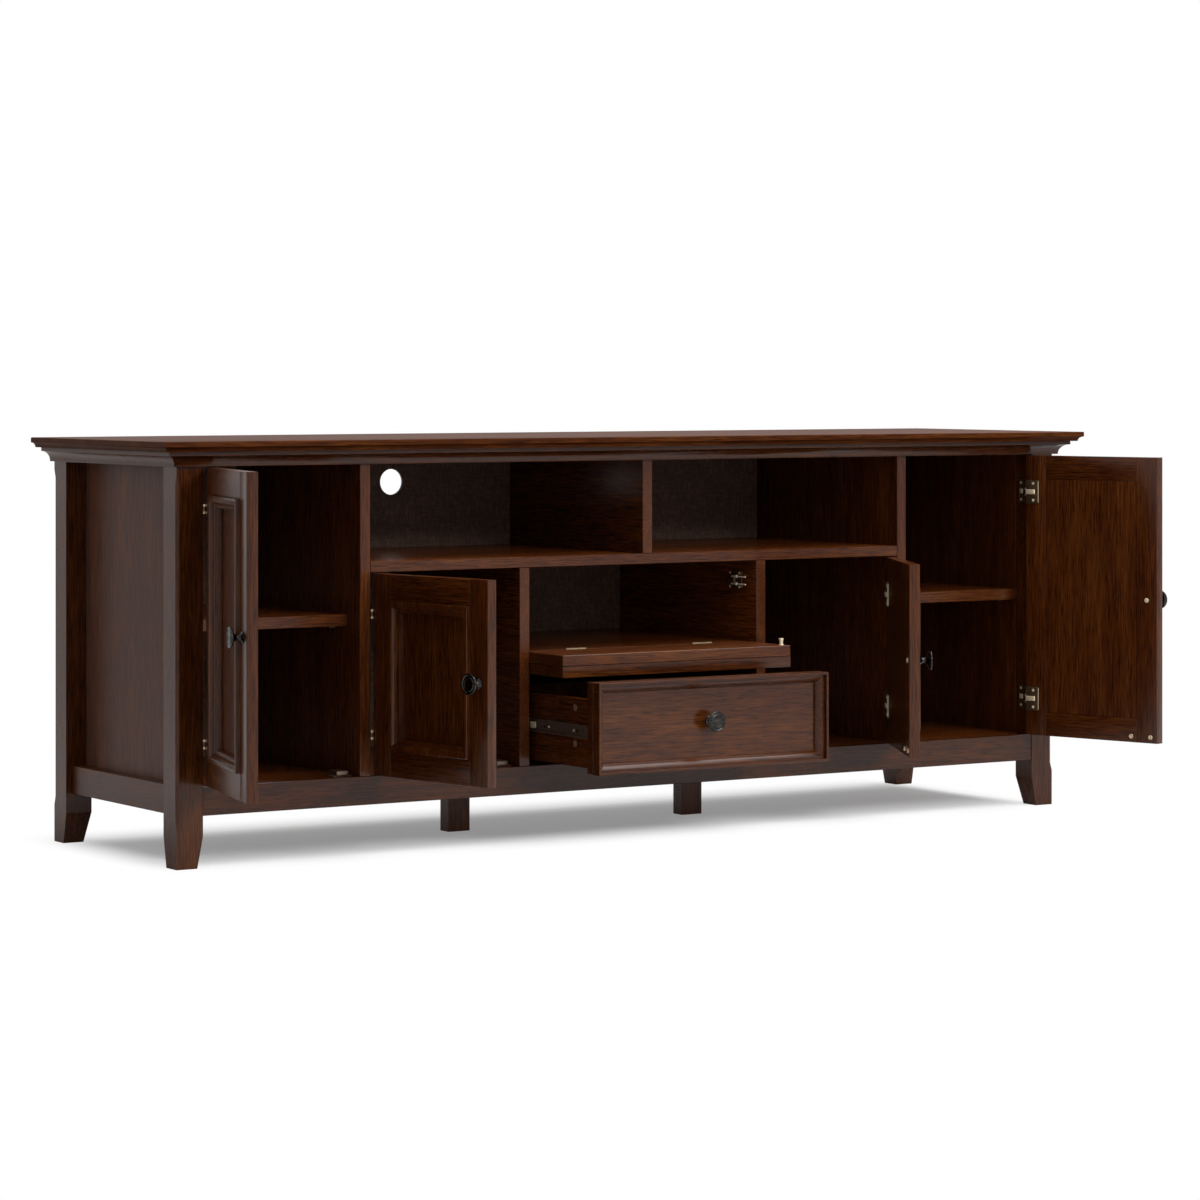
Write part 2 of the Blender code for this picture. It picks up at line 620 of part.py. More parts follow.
def flap_hinges(shelf, panel):
    shelf_front = FLAP_PIVOT_Y + FLAP_JOINT / 2
    half = FLAP_HINGE_LENGTH / 2
    clear = FLAP_BARREL_RADIUS + SEAT
    top = FLAP_PIVOT_Z - clear
    bottom = top - FLAP_LEAF_HEIGHT
    for word, side in SIDES:
        x = side * (FRONT_HALF - FLAP_HINGE_INSET)
        name = "flap_hinge_" + word
        room = rod(name + "_room", clear, (x - half - SEAT, FLAP_PIVOT_Y, FLAP_PIVOT_Z),
                   (x + half + SEAT, FLAP_PIVOT_Y, FLAP_PIVOT_Z), None)
        cut(shelf, room)
        cut(panel, room)
        leaf = block(name, (x - half, shelf_front - SEAT - HINGE_LEAF, bottom),
                     (x + half, shelf_front - SEAT, FLAP_PIVOT_Z), BRASS)
        barrel = rod(name + "_barrel", FLAP_BARREL_RADIUS, (x - half, FLAP_PIVOT_Y, FLAP_PIVOT_Z),
                     (x + half, FLAP_PIVOT_Y, FLAP_PIVOT_Z), None)
        weld(leaf, barrel)


def drop_flap():
    pivot = (0.0, FLAP_PIVOT_Y, FLAP_PIVOT_Z)
    swing = axis_empty("flap_hinge_axis", pivot)
    half = FRONT_HALF
    panel = board("flap_panel", (-half, -FLAP_FAR, SEAT - FRONT_SLAB), (half, -FLAP_NEAR, 0.0),
                  STAIN, swing)
    # Closed, the moulding faces forward, so open it lies under the panel
    lie_down = axis_empty("flap_moulding_axis", (0.0, 0.0, 0.0), swing)
    lie_down.rotation_euler = (math.radians(90), 0.0, 0.0)
    face = -FLAP_THICKNESS
    frame_ring("flap_moulding", (-half, face, FLAP_NEAR), (half, face, FLAP_FAR), moulding_section(),
               STAIN, lie_down)
    pin_x = half - PIN_SIDE_INSET
    pin_y = -FLAP_FAR + PIN_INSET
    head_start = PIN_LENGTH - PIN_HEAD
    shank = rod("flap_pin_shank", PIN_RADIUS, (pin_x, pin_y, -LET_IN), (pin_x, pin_y, head_start),
                None, swing)
    head = rod("flap_pin_head", PIN_HEAD_RADIUS, (pin_x, pin_y, head_start - LET_IN),
               (pin_x, pin_y, PIN_LENGTH), None, swing)
    weld(panel, shank)
    weld(panel, head)
    shelf_low = (-LOW_INNER + SEAT, FLAP_PIVOT_Y + FLAP_JOINT / 2, FLAP_SHELF_TOP - FLAP_SHELF_THICKNESS)
    shelf = board("flap_shelf", shelf_low, (LOW_INNER - SEAT, BOARD_BACK, FLAP_SHELF_TOP), DARK_STAIN)
    flap_hinges(shelf, panel)
    roller_catch(pin_x, FLAP_PIVOT_Z - pin_y)


def roller_catch(x, z):
    start = FLAP_PIVOT_Y + ROLLER_ARM_START
    arm_end = start + ROLLER_ARM_LENGTH
    offset = PIN_HEAD_RADIUS + ROLLER_ARM_GAP + ROLLER_ARM_RADIUS
    wall = LOW_INNER - SEAT
    plate_start = arm_end - ROLLER_BODY
    half = ROLLER_PLATE_HEIGHT / 2
    catch = block("flap_roller_catch", (wall - ROLLER_PLATE_THICKNESS, plate_start, z - half),
                  (wall, plate_start + ROLLER_PLATE_LENGTH, z + half), BRASS)
    reach = offset + ROLLER_ARM_RADIUS
    body = block("roller_catch_body", (x - ROLLER_ARM_RADIUS, arm_end - LET_IN, z - reach),
                 (wall - LET_IN, arm_end + ROLLER_BODY, z + reach), None)
    weld(catch, body)
    for word, way in (("low", -1), ("high", 1)):
        level = z + way * offset
        arm = rod("roller_arm_" + word, ROLLER_ARM_RADIUS, (x, start, level),
                  (x, arm_end + LET_IN, level), None)
        weld(catch, arm)


# Drawer and its slides
def drawer():
    carriage = axis_empty("drawer_slide_axis", (0.0, FRONT - DRAWER_OUT, SLIDE_Z))
    low_z = DRAWER_FRONT_BOTTOM - SLIDE_Z
    high_z = DRAWER_FRONT_TOP - SLIDE_Z
    half = FRONT_HALF
    frame_ring("drawer_front_moulding", (-half, 0.0, low_z), (half, 0.0, high_z), moulding_section(),
               STAIN, carriage)
    slab_back = MOULDING_THICKNESS + FRONT_SLAB
    board("drawer_front", (-half, MOULDING_THICKNESS + SEAT, low_z), (half, slab_back, high_z),
          STAIN, carriage)
    knob("drawer_knob", (0.0, MOULDING_THICKNESS, (low_z + high_z) / 2 + DRAWER_KNOB_RISE), carriage)
    outer = LOW_INNER - SLIDE_GAP
    inner = outer - DRAWER_SIDE
    start = slab_back + SEAT
    end = start + DRAWER_LENGTH
    side_low = DRAWER_SIDE_BOTTOM - SLIDE_Z
    side_high = DRAWER_SIDE_TOP - SLIDE_Z
    outline = [(-outer, start), (-inner, start), (-inner, end - DRAWER_SIDE), (inner, end - DRAWER_SIDE),
               (inner, start), (outer, start), (outer, end), (-outer, end)]
    box = prism("drawer_box", outline, lambda x, y, z: (x, y, z), side_low, side_high, DARK_STAIN,
                carriage)
    floor_low = side_low + DRAWER_BOTTOM_LIFT
    floor_high = floor_low + DRAWER_BOTTOM_THICKNESS
    width = inner + DRAWER_GROOVE
    floor_end = end - DRAWER_SIDE + DRAWER_GROOVE
    block("drawer_bottom", (-width, start + SEAT, floor_low), (width, floor_end, floor_high), DARK_STAIN,
          carriage)
    groove = block("drawer_groove", (-width - SEAT, start - DRAWER_GROOVE, floor_low - SEAT),
                   (width + SEAT, floor_end + SEAT, floor_high + SEAT), None, carriage)
    cut(box, groove)
    drawer_slides(carriage, start)


def drawer_slides(carriage, start):
    half = SLIDE_HEIGHT / 2
    clear = half - SLIDE_BALL_ROW
    ride = clear - SEAT
    web = SEAT + SLIDE_SHEET
    case_outline = [(SEAT, -half), (SLIDE_CASE_DEPTH, -half), (SLIDE_CASE_DEPTH, -clear), (web, -clear),
                    (web, clear), (SLIDE_CASE_DEPTH, clear), (SLIDE_CASE_DEPTH, half), (SEAT, half)]
    back = SLIDE_GAP - SEAT
    front = back - SLIDE_RUNNER_DEPTH
    hollow = ride - SLIDE_SHEET
    lip = back - SLIDE_SHEET
    run_outline = [(back, -ride), (back, ride), (front, ride), (front, hollow),
                   (lip, hollow), (lip, -hollow), (front, -hollow), (front, -ride)]
    case_start = FRONT + start + SLIDE_SETBACK
    for word, side in SIDES:
        wall = side * LOW_INNER
        prism("slide_case_member_" + word, case_outline,
              lambda x, z, y: (wall - side * x, y, SLIDE_Z + z),
              case_start, case_start + DRAWER_LENGTH, STEEL)
        prism("slide_drawer_member_" + word, run_outline,
              lambda x, z, y: (wall - side * x, y, z), start, start + DRAWER_LENGTH, STEEL, carriage)


top_panel()
cornice()
case_frame()
dividers_and_shelves()
back_panel()
doors()
drop_flap()
drawer()
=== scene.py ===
import math

import bpy
import numpy as np
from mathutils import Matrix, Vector


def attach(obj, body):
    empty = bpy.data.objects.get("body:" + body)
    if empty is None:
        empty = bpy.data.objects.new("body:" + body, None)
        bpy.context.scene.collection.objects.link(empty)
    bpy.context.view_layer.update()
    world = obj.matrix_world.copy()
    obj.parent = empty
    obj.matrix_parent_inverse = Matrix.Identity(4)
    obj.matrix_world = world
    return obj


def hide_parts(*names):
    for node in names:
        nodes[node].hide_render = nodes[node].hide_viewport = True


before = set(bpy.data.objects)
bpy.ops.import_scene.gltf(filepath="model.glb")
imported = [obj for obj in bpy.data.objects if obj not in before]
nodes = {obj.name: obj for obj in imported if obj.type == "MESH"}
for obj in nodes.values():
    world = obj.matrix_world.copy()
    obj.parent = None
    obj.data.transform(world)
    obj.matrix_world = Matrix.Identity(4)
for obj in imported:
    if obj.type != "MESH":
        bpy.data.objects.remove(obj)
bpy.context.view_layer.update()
print("frame loaded,", len(nodes), "nodes")

quarter = math.pi / 2
across, deep, upright = (0, 0, 0), (0, 0, quarter), (0, -quarter, 0)  # turns of the grain
noiseLook = {"roughness": 0.58, "band": (0.3, 0.7)}
mixColor = {"factor": 0, "first": 6, "second": 7, "result": 2}  # colour sockets of a Mix node
lineSoft = 0.0002  # half the width of a step in a finish


# A new material with its tree and Principled shader
def newMaterial(name):
    material = bpy.data.materials.new(name)
    material.use_nodes = True
    return material, material.node_tree, material.node_tree.nodes["Principled BSDF"]


# A shader node of a kind, with numbers or colours on its sockets
def addNode(tree, kind, values=None):
    node = tree.nodes.new("ShaderNode" + kind)
    for socket, value in (values or {}).items():
        node.inputs[socket].default_value = value
    return node


# Result of one operation on other nodes' results, or on a plain number
def worked(tree, operation, *values):
    node = addNode(tree, "Math")
    node.operation = operation
    for i, value in enumerate(values):
        if isinstance(value, float):
            node.inputs[i].default_value = value
        else:
            tree.links.new(value, node.inputs[i])
    return node.outputs[0]


# Value carried from one span to another, along a straight line or a smooth step
def mapped(tree, value, source, target, curve="LINEAR"):
    node = addNode(tree, "MapRange", {"From Min": source[0], "From Max": source[1],
                                      "To Min": target[0], "To Max": target[1]})
    node.interpolation_type = curve
    tree.links.new(value, node.inputs["Value"])
    return node.outputs["Result"]


# The three parts of the object position
def positionParts(tree):
    split = addNode(tree, "SeparateXYZ")
    tree.links.new(addNode(tree, "TexCoord").outputs["Object"], split.inputs["Vector"])
    return split.outputs


# Noise of the object position, turned to the grain and divided by the cell size
def cellNoise(tree, cell, turn=across, detail=3.0, warp=0.0, shift=(0, 0, 0)):
    mapping = tree.nodes.new("ShaderNodeMapping")
    mapping.vector_type = "TEXTURE"
    mapping.inputs["Location"].default_value = shift
    mapping.inputs["Rotation"].default_value = turn
    mapping.inputs["Scale"].default_value = cell
    noise = addNode(tree, "TexNoise", {"Scale": 1.0, "Detail": detail, "Roughness": noiseLook["roughness"],
                                       "Distortion": warp})
    tree.links.new(addNode(tree, "TexCoord").outputs["Object"], mapping.inputs["Vector"])
    tree.links.new(mapping.outputs["Vector"], noise.inputs["Vector"])
    return noise.outputs["Fac"]


# Colour that runs through the stops as the value rises
def colorRun(tree, value, stops):
    node = addNode(tree, "ValToRGB")
    elements = node.color_ramp.elements
    elements.remove(elements[1])
    elements[0].position = stops[0][0]
    elements[0].color = (*stops[0][1], 1.0)
    for position, color in stops[1:]:
        elements.new(position).color = (*color, 1.0)
    tree.links.new(value, node.inputs["Fac"])
    return node.outputs["Color"]


# Product of two colours
def multiplied(tree, first, second):
    node = addNode(tree, "Mix")
    node.data_type = "RGBA"
    node.blend_type = "MULTIPLY"
    node.inputs[mixColor["factor"]].default_value = 1.0
    tree.links.new(first, node.inputs[mixColor["first"]])
    tree.links.new(second, node.inputs[mixColor["second"]])
    return node.outputs[mixColor["result"]]


# Roughness carried linearly from the noise's middle band to a low and a high value
def roughen(tree, shader, noise, low, high):
    tree.links.new(mapped(tree, noise, noiseLook["band"], (low, high)), shader.inputs["Roughness"])


# Surface relief from a height value
def relief(tree, shader, height, strength, depth):
    bump = addNode(tree, "Bump", {"Strength": strength, "Distance": depth})
    tree.links.new(height, bump.inputs["Height"])
    tree.links.new(bump.outputs["Normal"], shader.inputs["Normal"])


# Step at a line: one value below it and another above, in the position's Y or in its distance from the middle plane
def lineStep(tree, axis, line, below, above):
    parts = positionParts(tree)
    along = parts["Y"] if axis == "depth" else worked(tree, "ABSOLUTE", parts["X"])
    return mapped(tree, along, (line - lineSoft, line + lineSoft), (below, above))


# figure, streak and pore hold cell size, detail and warp; the tones are stops of colour
stain = {
    "figure": ((0.36, 0.040, 0.040), 4.0, 0.6),
    "streak": ((0.060, 0.0026, 0.0026), 3.0, 0.2),
    "pore": ((0.030, 0.0014, 0.0014), 1.0, 0.0),
    "figureTones": ((0.30, (0.043, 0.0096, 0.0016)), (0.50, (0.058, 0.0143, 0.0024)),
                    (0.72, (0.078, 0.0222, 0.0040))),
    "streakTones": ((0.34, (0.56, 0.51, 0.48)), (0.50, (1.0, 1.0, 1.0)), (0.66, (1.42, 1.44, 1.38))),
    "poreTones": ((0.34, (0.46, 0.41, 0.38)), (0.47, (1.06, 1.06, 1.06))),
    "relief": (0.10, 0.0003),
    "gloss": 0.25,
}
rough = {"plain": (0.19, 0.27), "door": (0.26, 0.34), "doorRail": (0.32, 0.40), "side": (0.30, 0.40),
         "rail": (0.34, 0.44), "top": (0.45, 0.55)}


# Stained wood: broad figure, long streaks and short pores, all stretched along the grain and multiplied;
# a band dims it in front of a line in depth, the plainer front edge of a board whose tone is lifted as painted light,
# and a haze of sheen lies over all of it or beyond a line in width
def woodFinish(name, turn, shift, depth=1.0, roughness=rough["plain"], gloss=stain["gloss"], band=None,
               haze=0.0, hazeLine=None):
    material, tree, shader = newMaterial(name)
    figure, streak, pore = (cellNoise(tree, cell, turn, detail, warp, shift)
                            for cell, detail, warp in (stain["figure"], stain["streak"], stain["pore"]))
    figureTones = [(at, tuple(depth * part for part in tone)) for at, tone in stain["figureTones"]]
    tone = multiplied(tree, colorRun(tree, figure, figureTones), colorRun(tree, streak, stain["streakTones"]))
    tone = multiplied(tree, tone, colorRun(tree, pore, stain["poreTones"]))
    # Painted light: a board lifted by its depth for a lit top has its front edge dimmed back here
    if band:
        tone = multiplied(tree, tone, lineStep(tree, "depth", *band, 1.0))
    tree.links.new(tone, shader.inputs["Base Color"])
    roughen(tree, shader, streak, *roughness)
    shader.inputs["Specular IOR Level"].default_value = gloss
    shader.inputs["Sheen Weight"].default_value = haze
    if hazeLine:
        tree.links.new(lineStep(tree, "width", hazeLine, 0.0, haze), shader.inputs["Sheen Weight"])
    relief(tree, shader, pore, *stain["relief"])
    return material


plating = {"cell": 0.004, "cloudDetail": 4.0, "scratches": 12, "scratchTurn": (0.3, 0.2, 0.5), "scratchDetail": 2.0,
           "smoother": 0.06, "rougher": 0.08}


# Metal with a cloudy tone and fine scratches in its roughness; the share is how far it is bare metal
def metalFinish(name, darkTone, lightTone, roughness, share=1.0):
    material, tree, shader = newMaterial(name)
    cell, thin = plating["cell"], plating["cell"] / plating["scratches"]
    low, high = noiseLook["band"]
    cloud = cellNoise(tree, (cell, cell, cell), detail=plating["cloudDetail"])
    scratch = cellNoise(tree, (cell, thin, thin), plating["scratchTurn"], plating["scratchDetail"])
    shader.inputs["Metallic"].default_value = share
    tree.links.new(colorRun(tree, cloud, [(low, darkTone), (high, lightTone)]), shader.inputs["Base Color"])
    roughen(tree, shader, scratch, roughness - plating["smoother"], roughness + plating["rougher"])
    return material


linen = {"thread": 0.0017, "length": 8, "band": (0.36, 0.64),
         "weftDark": (0.72, 0.70, 0.69), "weftLight": (1.2, 1.2, 1.2),
         "cloud": (0.09, 0.05, 0.05), "cloudDark": (0.8, 0.8, 0.8), "cloudLight": (1.15, 1.12, 1.1),
         "relief": (0.25, 0.0004)}


# Fibre sheet with a linen print: upright and level threads multiplied over a cloudy tone
def fibreFinish(name, darkTone, lightTone, roughness):
    material, tree, shader = newMaterial(name)
    thread, length = linen["thread"], linen["length"] * linen["thread"]
    dark, light = linen["band"]
    cloudDark, cloudLight = noiseLook["band"]
    warp = cellNoise(tree, (thread, thread, length))
    weft = cellNoise(tree, (length, thread, thread))
    cloud = cellNoise(tree, linen["cloud"])
    tone = multiplied(tree, colorRun(tree, warp, [(dark, darkTone), (light, lightTone)]),
                      colorRun(tree, weft, [(dark, linen["weftDark"]), (light, linen["weftLight"])]))
    tint = colorRun(tree, cloud, [(cloudDark, linen["cloudDark"]), (cloudLight, linen["cloudLight"])])
    tree.links.new(multiplied(tree, tone, tint), shader.inputs["Base Color"])
    shader.inputs["Roughness"].default_value = roughness
    relief(tree, shader, warp, *linen["relief"])
    return material


# Woods: turn of the grain, shift of the pattern, depth of the tone
woodX = woodFinish("stainedWoodAcross", across, (0.13, 0.02, 0.31))
topX = woodFinish("topWood", across, (0.13, 0.02, 0.31), roughness=rough["top"], gloss=0.04)
woodY = woodFinish("stainedWoodDeep", deep, (0.41, 0.27, 0.05), roughness=rough["rail"])
woodZ = woodFinish("stainedWoodUpright", upright, (0.07, 0.33, 0.19), 1.12)
sideZ = woodFinish("outerWoodSide", upright, (0.15, 0.41, 0.27), 1.3, rough["side"], 0.08, haze=0.14, hazeLine=0.836)
# Middle feet: tone lifted as painted light, standing in for light thrown up from the floor under the case
litFootZ = woodFinish("middleFootPaintedLight", upright, (0.19, 0.37, 0.13), 1.7, rough["side"], haze=0.22)
flapX = woodFinish("outerWoodFlap", across, (0.23, 0.12, 0.41), 1.28, rough["rail"])
# Darker copy of the wood, painted shade: the front rail under the open doors and drawer, and the cornice front
shadedRailX = woodFinish("paintedShadeWood", across, (0.31, 0.22, 0.11), 0.78)
# Middle shelf: tone lifted two and a half times as painted light on its top in the bays' shade; the band dims its
# front edge
litShelfX = woodFinish("shelfWoodPaintedLight", across, (0.55, 0.21, 0.43), 2.5, band=(-0.2255, 0.48))
# Adjustable shelves: tone lifted as painted light on their tops inside the bays; the band dims their front edges
litLooseX = woodFinish("looseShelfPaintedLight", across, (0.15, 0.51, 0.33), 1.6, band=(-0.1855, 0.72))
# Right lower divider: tone lifted as painted light on its face in the bay's shade; the band dims its front edge
litWallY = woodFinish("flapWallPaintedLight", deep, (0.25, 0.61, 0.17), 2.1, band=(-0.2255, 0.50))
doorZ = woodFinish("outerWoodDoor", upright, (0.07, 0.33, 0.19), roughness=rough["door"])
# Inner boards across the grain: tone lifted as painted light on their tops in the bays' shade
litInnerX = woodFinish("innerWoodPaintedLight", across, (0.55, 0.21, 0.43), 1.45)
innerY = woodFinish("innerWoodDeep", deep, (0.25, 0.61, 0.17), 1.2)
innerZ = woodFinish("innerWoodUpright", upright, (0.35, 0.11, 0.57), 1.28)

# Sheets and metals: dark tone, light tone, roughness
fibre = fibreFinish("fibreSheet", (0.082, 0.043, 0.028), (0.158, 0.089, 0.061), 0.75)
plastic = fibreFinish("brownPlastic", (0.040, 0.020, 0.011), (0.055, 0.029, 0.016), 0.42)
bronze = metalFinish("oiledBronze", (0.013, 0.012, 0.011), (0.050, 0.047, 0.043), 0.19)
brass = metalFinish("antiqueBrass", (0.070, 0.042, 0.022), (0.150, 0.094, 0.050), 0.40, 0.75)
dullBrass = metalFinish("dullBrass", (0.10, 0.075, 0.045), (0.22, 0.165, 0.10), 0.50)
paleBrass = metalFinish("paleBrass", (0.66, 0.53, 0.36), (0.82, 0.70, 0.51), 0.42, 0.4)
# Roller catch arms: brass lifted near to white as painted glints and light on arms in the hollow's shade
paintedGlintBrass = metalFinish("paintedGlintBrass", (0.84, 0.74, 0.56), (0.97, 0.90, 0.74), 0.30, 0.3)
knuckleBrass = metalFinish("knuckleBrass", (0.50, 0.38, 0.24), (0.70, 0.56, 0.38), 0.42)
camZinc = metalFinish("camZinc", (0.110, 0.070, 0.043), (0.320, 0.210, 0.130), 0.45, 0.4)
steel = metalFinish("zincSteel", (0.180, 0.145, 0.115), (0.330, 0.270, 0.215), 0.42)
poleSteel = metalFinish("poleSteel", (0.130, 0.088, 0.066), (0.230, 0.160, 0.124), 0.42)

doorNames = ("left_outer_door", "left_inner_door", "right_inner_door", "right_outer_door")
nodeFinishes = [
    (woodX, "drawer_front"),
    (shadedRailX, "front_bottom_rail"),
    (flapX, "flap_panel"),
    (woodY, "side_bottom_rail_left side_bottom_rail_right"),
    (woodZ, "front_left_post front_right_post back_left_post back_right_post "
            "left_inner_door_panel right_inner_door_panel right_outer_door_panel"),
    (litFootZ, "centre_foot_left centre_foot_right"),
    (doorZ, "left_outer_door_panel"),
    (sideZ, "side_panel_left side_panel_right"),
    (litInnerX, "bottom_panel flap_shelf drawer_bottom"),
    (litShelfX, "middle_shelf"),
    (litLooseX, "adjustable_shelf_left adjustable_shelf_right"),
    (litWallY, "lower_divider_right"),
    (innerY, "drawer_box lower_divider_left upper_divider"),
    (innerZ, "tall_divider_left tall_divider_right"),
    (fibre, "back_panel"),
    (steel, "slide_case_member_left slide_case_member_right slide_drawer_member_left slide_drawer_member_right"),
    (dullBrass, "flap_hinge_left flap_hinge_right"),
    (brass, " ".join(door + "_hinge_" + end for door in doorNames for end in ("lower", "upper"))),
]
for material, names in nodeFinishes:
    for name in names.split():
        nodes[name].data.materials.clear()
        nodes[name].data.materials.append(material)
print("finishes on the kept nodes")

axisRadius = 0.00002  # turned profiles stop just short of their axis
foot = 0.0002  # screw heads, pins and discs reach this far into what carries them


# Signed volume from the origin; faces are turned round when it is negative
def outward(points, quads, caps):
    a, b, c, d = (points[quads[:, i]] for i in range(4))
    volume = np.einsum("ij,ij->", a, np.cross(b, c)) + np.einsum("ij,ij->", a, np.cross(c, d))
    for cap in caps:
        rim = points[cap]
        volume += (np.cross(rim[1:-1], rim[2:]) @ rim[0]).sum()
    if volume < 0:
        quads, caps = quads[:, ::-1], [cap[::-1] for cap in caps]
    return points, quads, caps


# Closed outlines (loops, points, 3) joined by quads; the ends get flat faces unless the path is a ring
def skin(loops, ring=False):
    count, size = loops.shape[:2]
    index = np.arange(count * size).reshape(count, size)
    start = index if ring else index[:-1]
    stop = np.roll(index, -1, axis=0) if ring else index[1:]
    quads = np.stack([start, np.roll(start, -1, axis=1), np.roll(stop, -1, axis=1), stop], axis=-1).reshape(-1, 4)
    caps = [] if ring else [index[0, ::-1], index[-1]]
    return outward(loops.reshape(-1, 3), quads, caps)


# One object from several closed shells, smooth but for edges sharper than an angle
def addPiece(name, shells, material, body, stands=(), sharp=35.0):
    points, faces, base = [], [], 0
    for shellPoints, quads, caps in shells:
        points.append(shellPoints)
        faces += (quads + base).tolist() + [(cap + base).tolist() for cap in caps]
        base += len(shellPoints)
    mesh = bpy.data.meshes.new(name)
    mesh.from_pydata(np.concatenate(points).tolist(), [], faces)
    mesh.materials.append(material)
    mesh.shade_smooth()
    mesh.set_sharp_from_angle(angle=math.radians(sharp))
    piece = bpy.data.objects.new(name, mesh)
    bpy.context.scene.collection.objects.link(piece)
    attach(piece, body)
    if stands:
        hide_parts(*stands)


# Outline moved inward by the inset, each corner along its bisector
def insetOutline(outline, inset):
    edge = np.roll(outline, -1, axis=0) - outline
    area = np.sum(outline[:, 0] * np.roll(outline[:, 1], -1) - outline[:, 1] * np.roll(outline[:, 0], -1))
    normal = np.stack([-edge[:, 1], edge[:, 0]], axis=1) / np.linalg.norm(edge, axis=1, keepdims=True)
    normal *= np.sign(area)
    before = np.roll(normal, 1, axis=0)
    bisector = (before + normal) / (1 + np.sum(before * normal, axis=1, keepdims=True))
    return outline + inset * bisector


# Outline carried from one level to another, both rims rounded by a quarter circle
def slab(outline, low, high, arris, place, steps=3):
    outline = np.asarray(outline, float)
    angle = np.linspace(0, quarter, steps + 1)
    inset = arris * (1 - np.sin(angle))
    rise = arris * (1 - np.cos(angle))
    levels = [(i, low + r) for i, r in zip(inset, rise)] + [(i, high - r) for i, r in zip(inset[::-1], rise[::-1])]
    flat = [np.column_stack([insetOutline(outline, i), np.full(len(outline), level)]) for i, level in levels]
    return skin(place(np.array(flat)))


# Four corners of a rectangle
def rectangle(low, high):
    return [(low[0], low[1]), (high[0], low[1]), (high[0], high[1]), (low[0], high[1])]


# Rectangle with corners rounded by quarter circles
def roundRectangle(low, high, radius, steps=4):
    low, high = np.asarray(low, float), np.asarray(high, float)
    turn = np.linspace(0, quarter, steps + 1)
    centres = [(high[0] - radius, high[1] - radius), (low[0] + radius, high[1] - radius),
               (low[0] + radius, low[1] + radius), (high[0] - radius, low[1] + radius)]
    return np.concatenate([np.column_stack([x + radius * np.cos(turn + i * quarter),
                                            y + radius * np.sin(turn + i * quarter)])
                           for i, (x, y) in enumerate(centres)])


# Arc of an ellipse between two angles in degrees
def arc(centre, radii, start, stop, steps):
    turn = np.radians(np.linspace(start, stop, steps + 1))
    return np.column_stack([centre[0] + radii[0] * np.cos(turn), centre[1] + radii[1] * np.sin(turn)])


# Unit axis and two unit directions square to it
def axisFrame(axis):
    axis = np.asarray(axis, float) / np.linalg.norm(axis)
    side = np.cross(axis, (0.0, 0.0, 1.0) if abs(axis[2]) < 0.9 else (1.0, 0.0, 0.0))
    side /= np.linalg.norm(side)
    return axis, side, np.cross(axis, side)


# Profile of (radius, height) turned about an axis through the centre
def turned(profile, centre, axis, steps):
    axis, side, other = axisFrame(axis)
    angle = np.linspace(0, 2 * math.pi, steps, endpoint=False)
    rim = np.cos(angle)[:, None] * side + np.sin(angle)[:, None] * other
    profile = np.asarray(profile, float)
    return skin(np.asarray(centre) + profile[:, 0, None, None] * rim + profile[:, 1, None, None] * axis)


# shares of the head's radius, then of its height
screw = {"rings": (0.02, *np.linspace(0.12, 0.92, 9), 1.0, 1.0), "arm": (0.16, 0.06), "reach": (0.62, 0.08),
         "dome": 0.45, "sunk": 0.6}


# Screw head: a dome over a disc with a cross recess sunk into its middle
def screwHead(centre, axis, radius, height, steps=32):
    axis, side, other = axisFrame(axis)
    reach = np.array(screw["rings"])[:, None]
    angle = np.linspace(0, 2 * math.pi, steps, endpoint=False)[None, :]
    x, y = reach * np.cos(angle), reach * np.sin(angle)
    arm = np.minimum(np.abs(x), np.abs(y))
    (armEdge, armFall), (endEdge, endFall) = screw["arm"], screw["reach"]
    recess = np.clip((armEdge - arm) / armFall, 0, 1) * np.clip((endEdge - reach) / endFall, 0, 1)
    lift = height * (1 - screw["dome"] * reach ** 2) - screw["sunk"] * height * recess
    lift[-1] = -foot
    spot = radius * (x[..., None] * side + y[..., None] * other) + lift[..., None] * axis
    return skin(np.asarray(centre) + spot)


# Section of (distance in from the edge, depth from the face) carried round a rectangle with mitred corners
def frameRing(section, low, high, place):
    u, v = np.asarray(section, float).T
    inward = ((1, 1), (-1, 1), (-1, -1), (1, -1))
    corners = [np.column_stack([a + i * u, b + j * u, v]) for (a, b), (i, j) in zip(rectangle(low, high), inward)]
    return skin(place(np.array(corners)), ring=True)


case = {"half": 0.8735, "front": -0.227, "back": 0.227, "slabBottom": 0.6535, "height": 0.670}
top = {"overhang": 0.041, "backOverhang": 0.003, "cove": 0.008, "arris": 0.0016}


# Top slab: rectangles that grow by the edge profile, hollow below and rounded above
def topSlab():
    arris = top["arris"]
    lowEdge = arc((top["overhang"], case["slabBottom"]), (-top["cove"], top["cove"]), 0, 90, 12)
    rim = arc((top["overhang"] - arris, case["height"] - arris), (arris, arris), 0, 90, 5)
    loops = []
    for out, z in np.concatenate([lowEdge, rim]):
        half, back = case["half"] + out, case["back"] + top["backOverhang"]
        back -= arris * max(0.0, (z - case["height"] + arris) / arris) ** 2
        loops.append([(x, y, z) for x, y in rectangle((-half, case["front"] - out), (half, back))])
    addPiece("topSlab", [skin(np.array(loops))], topX, "cabinet", ["top_panel"])


cornice = {"bottom": 0.630, "foot": 0.008, "lip": 0.0015, "cove": 0.0158, "seat": 0.0003, "arris": 0.0006}


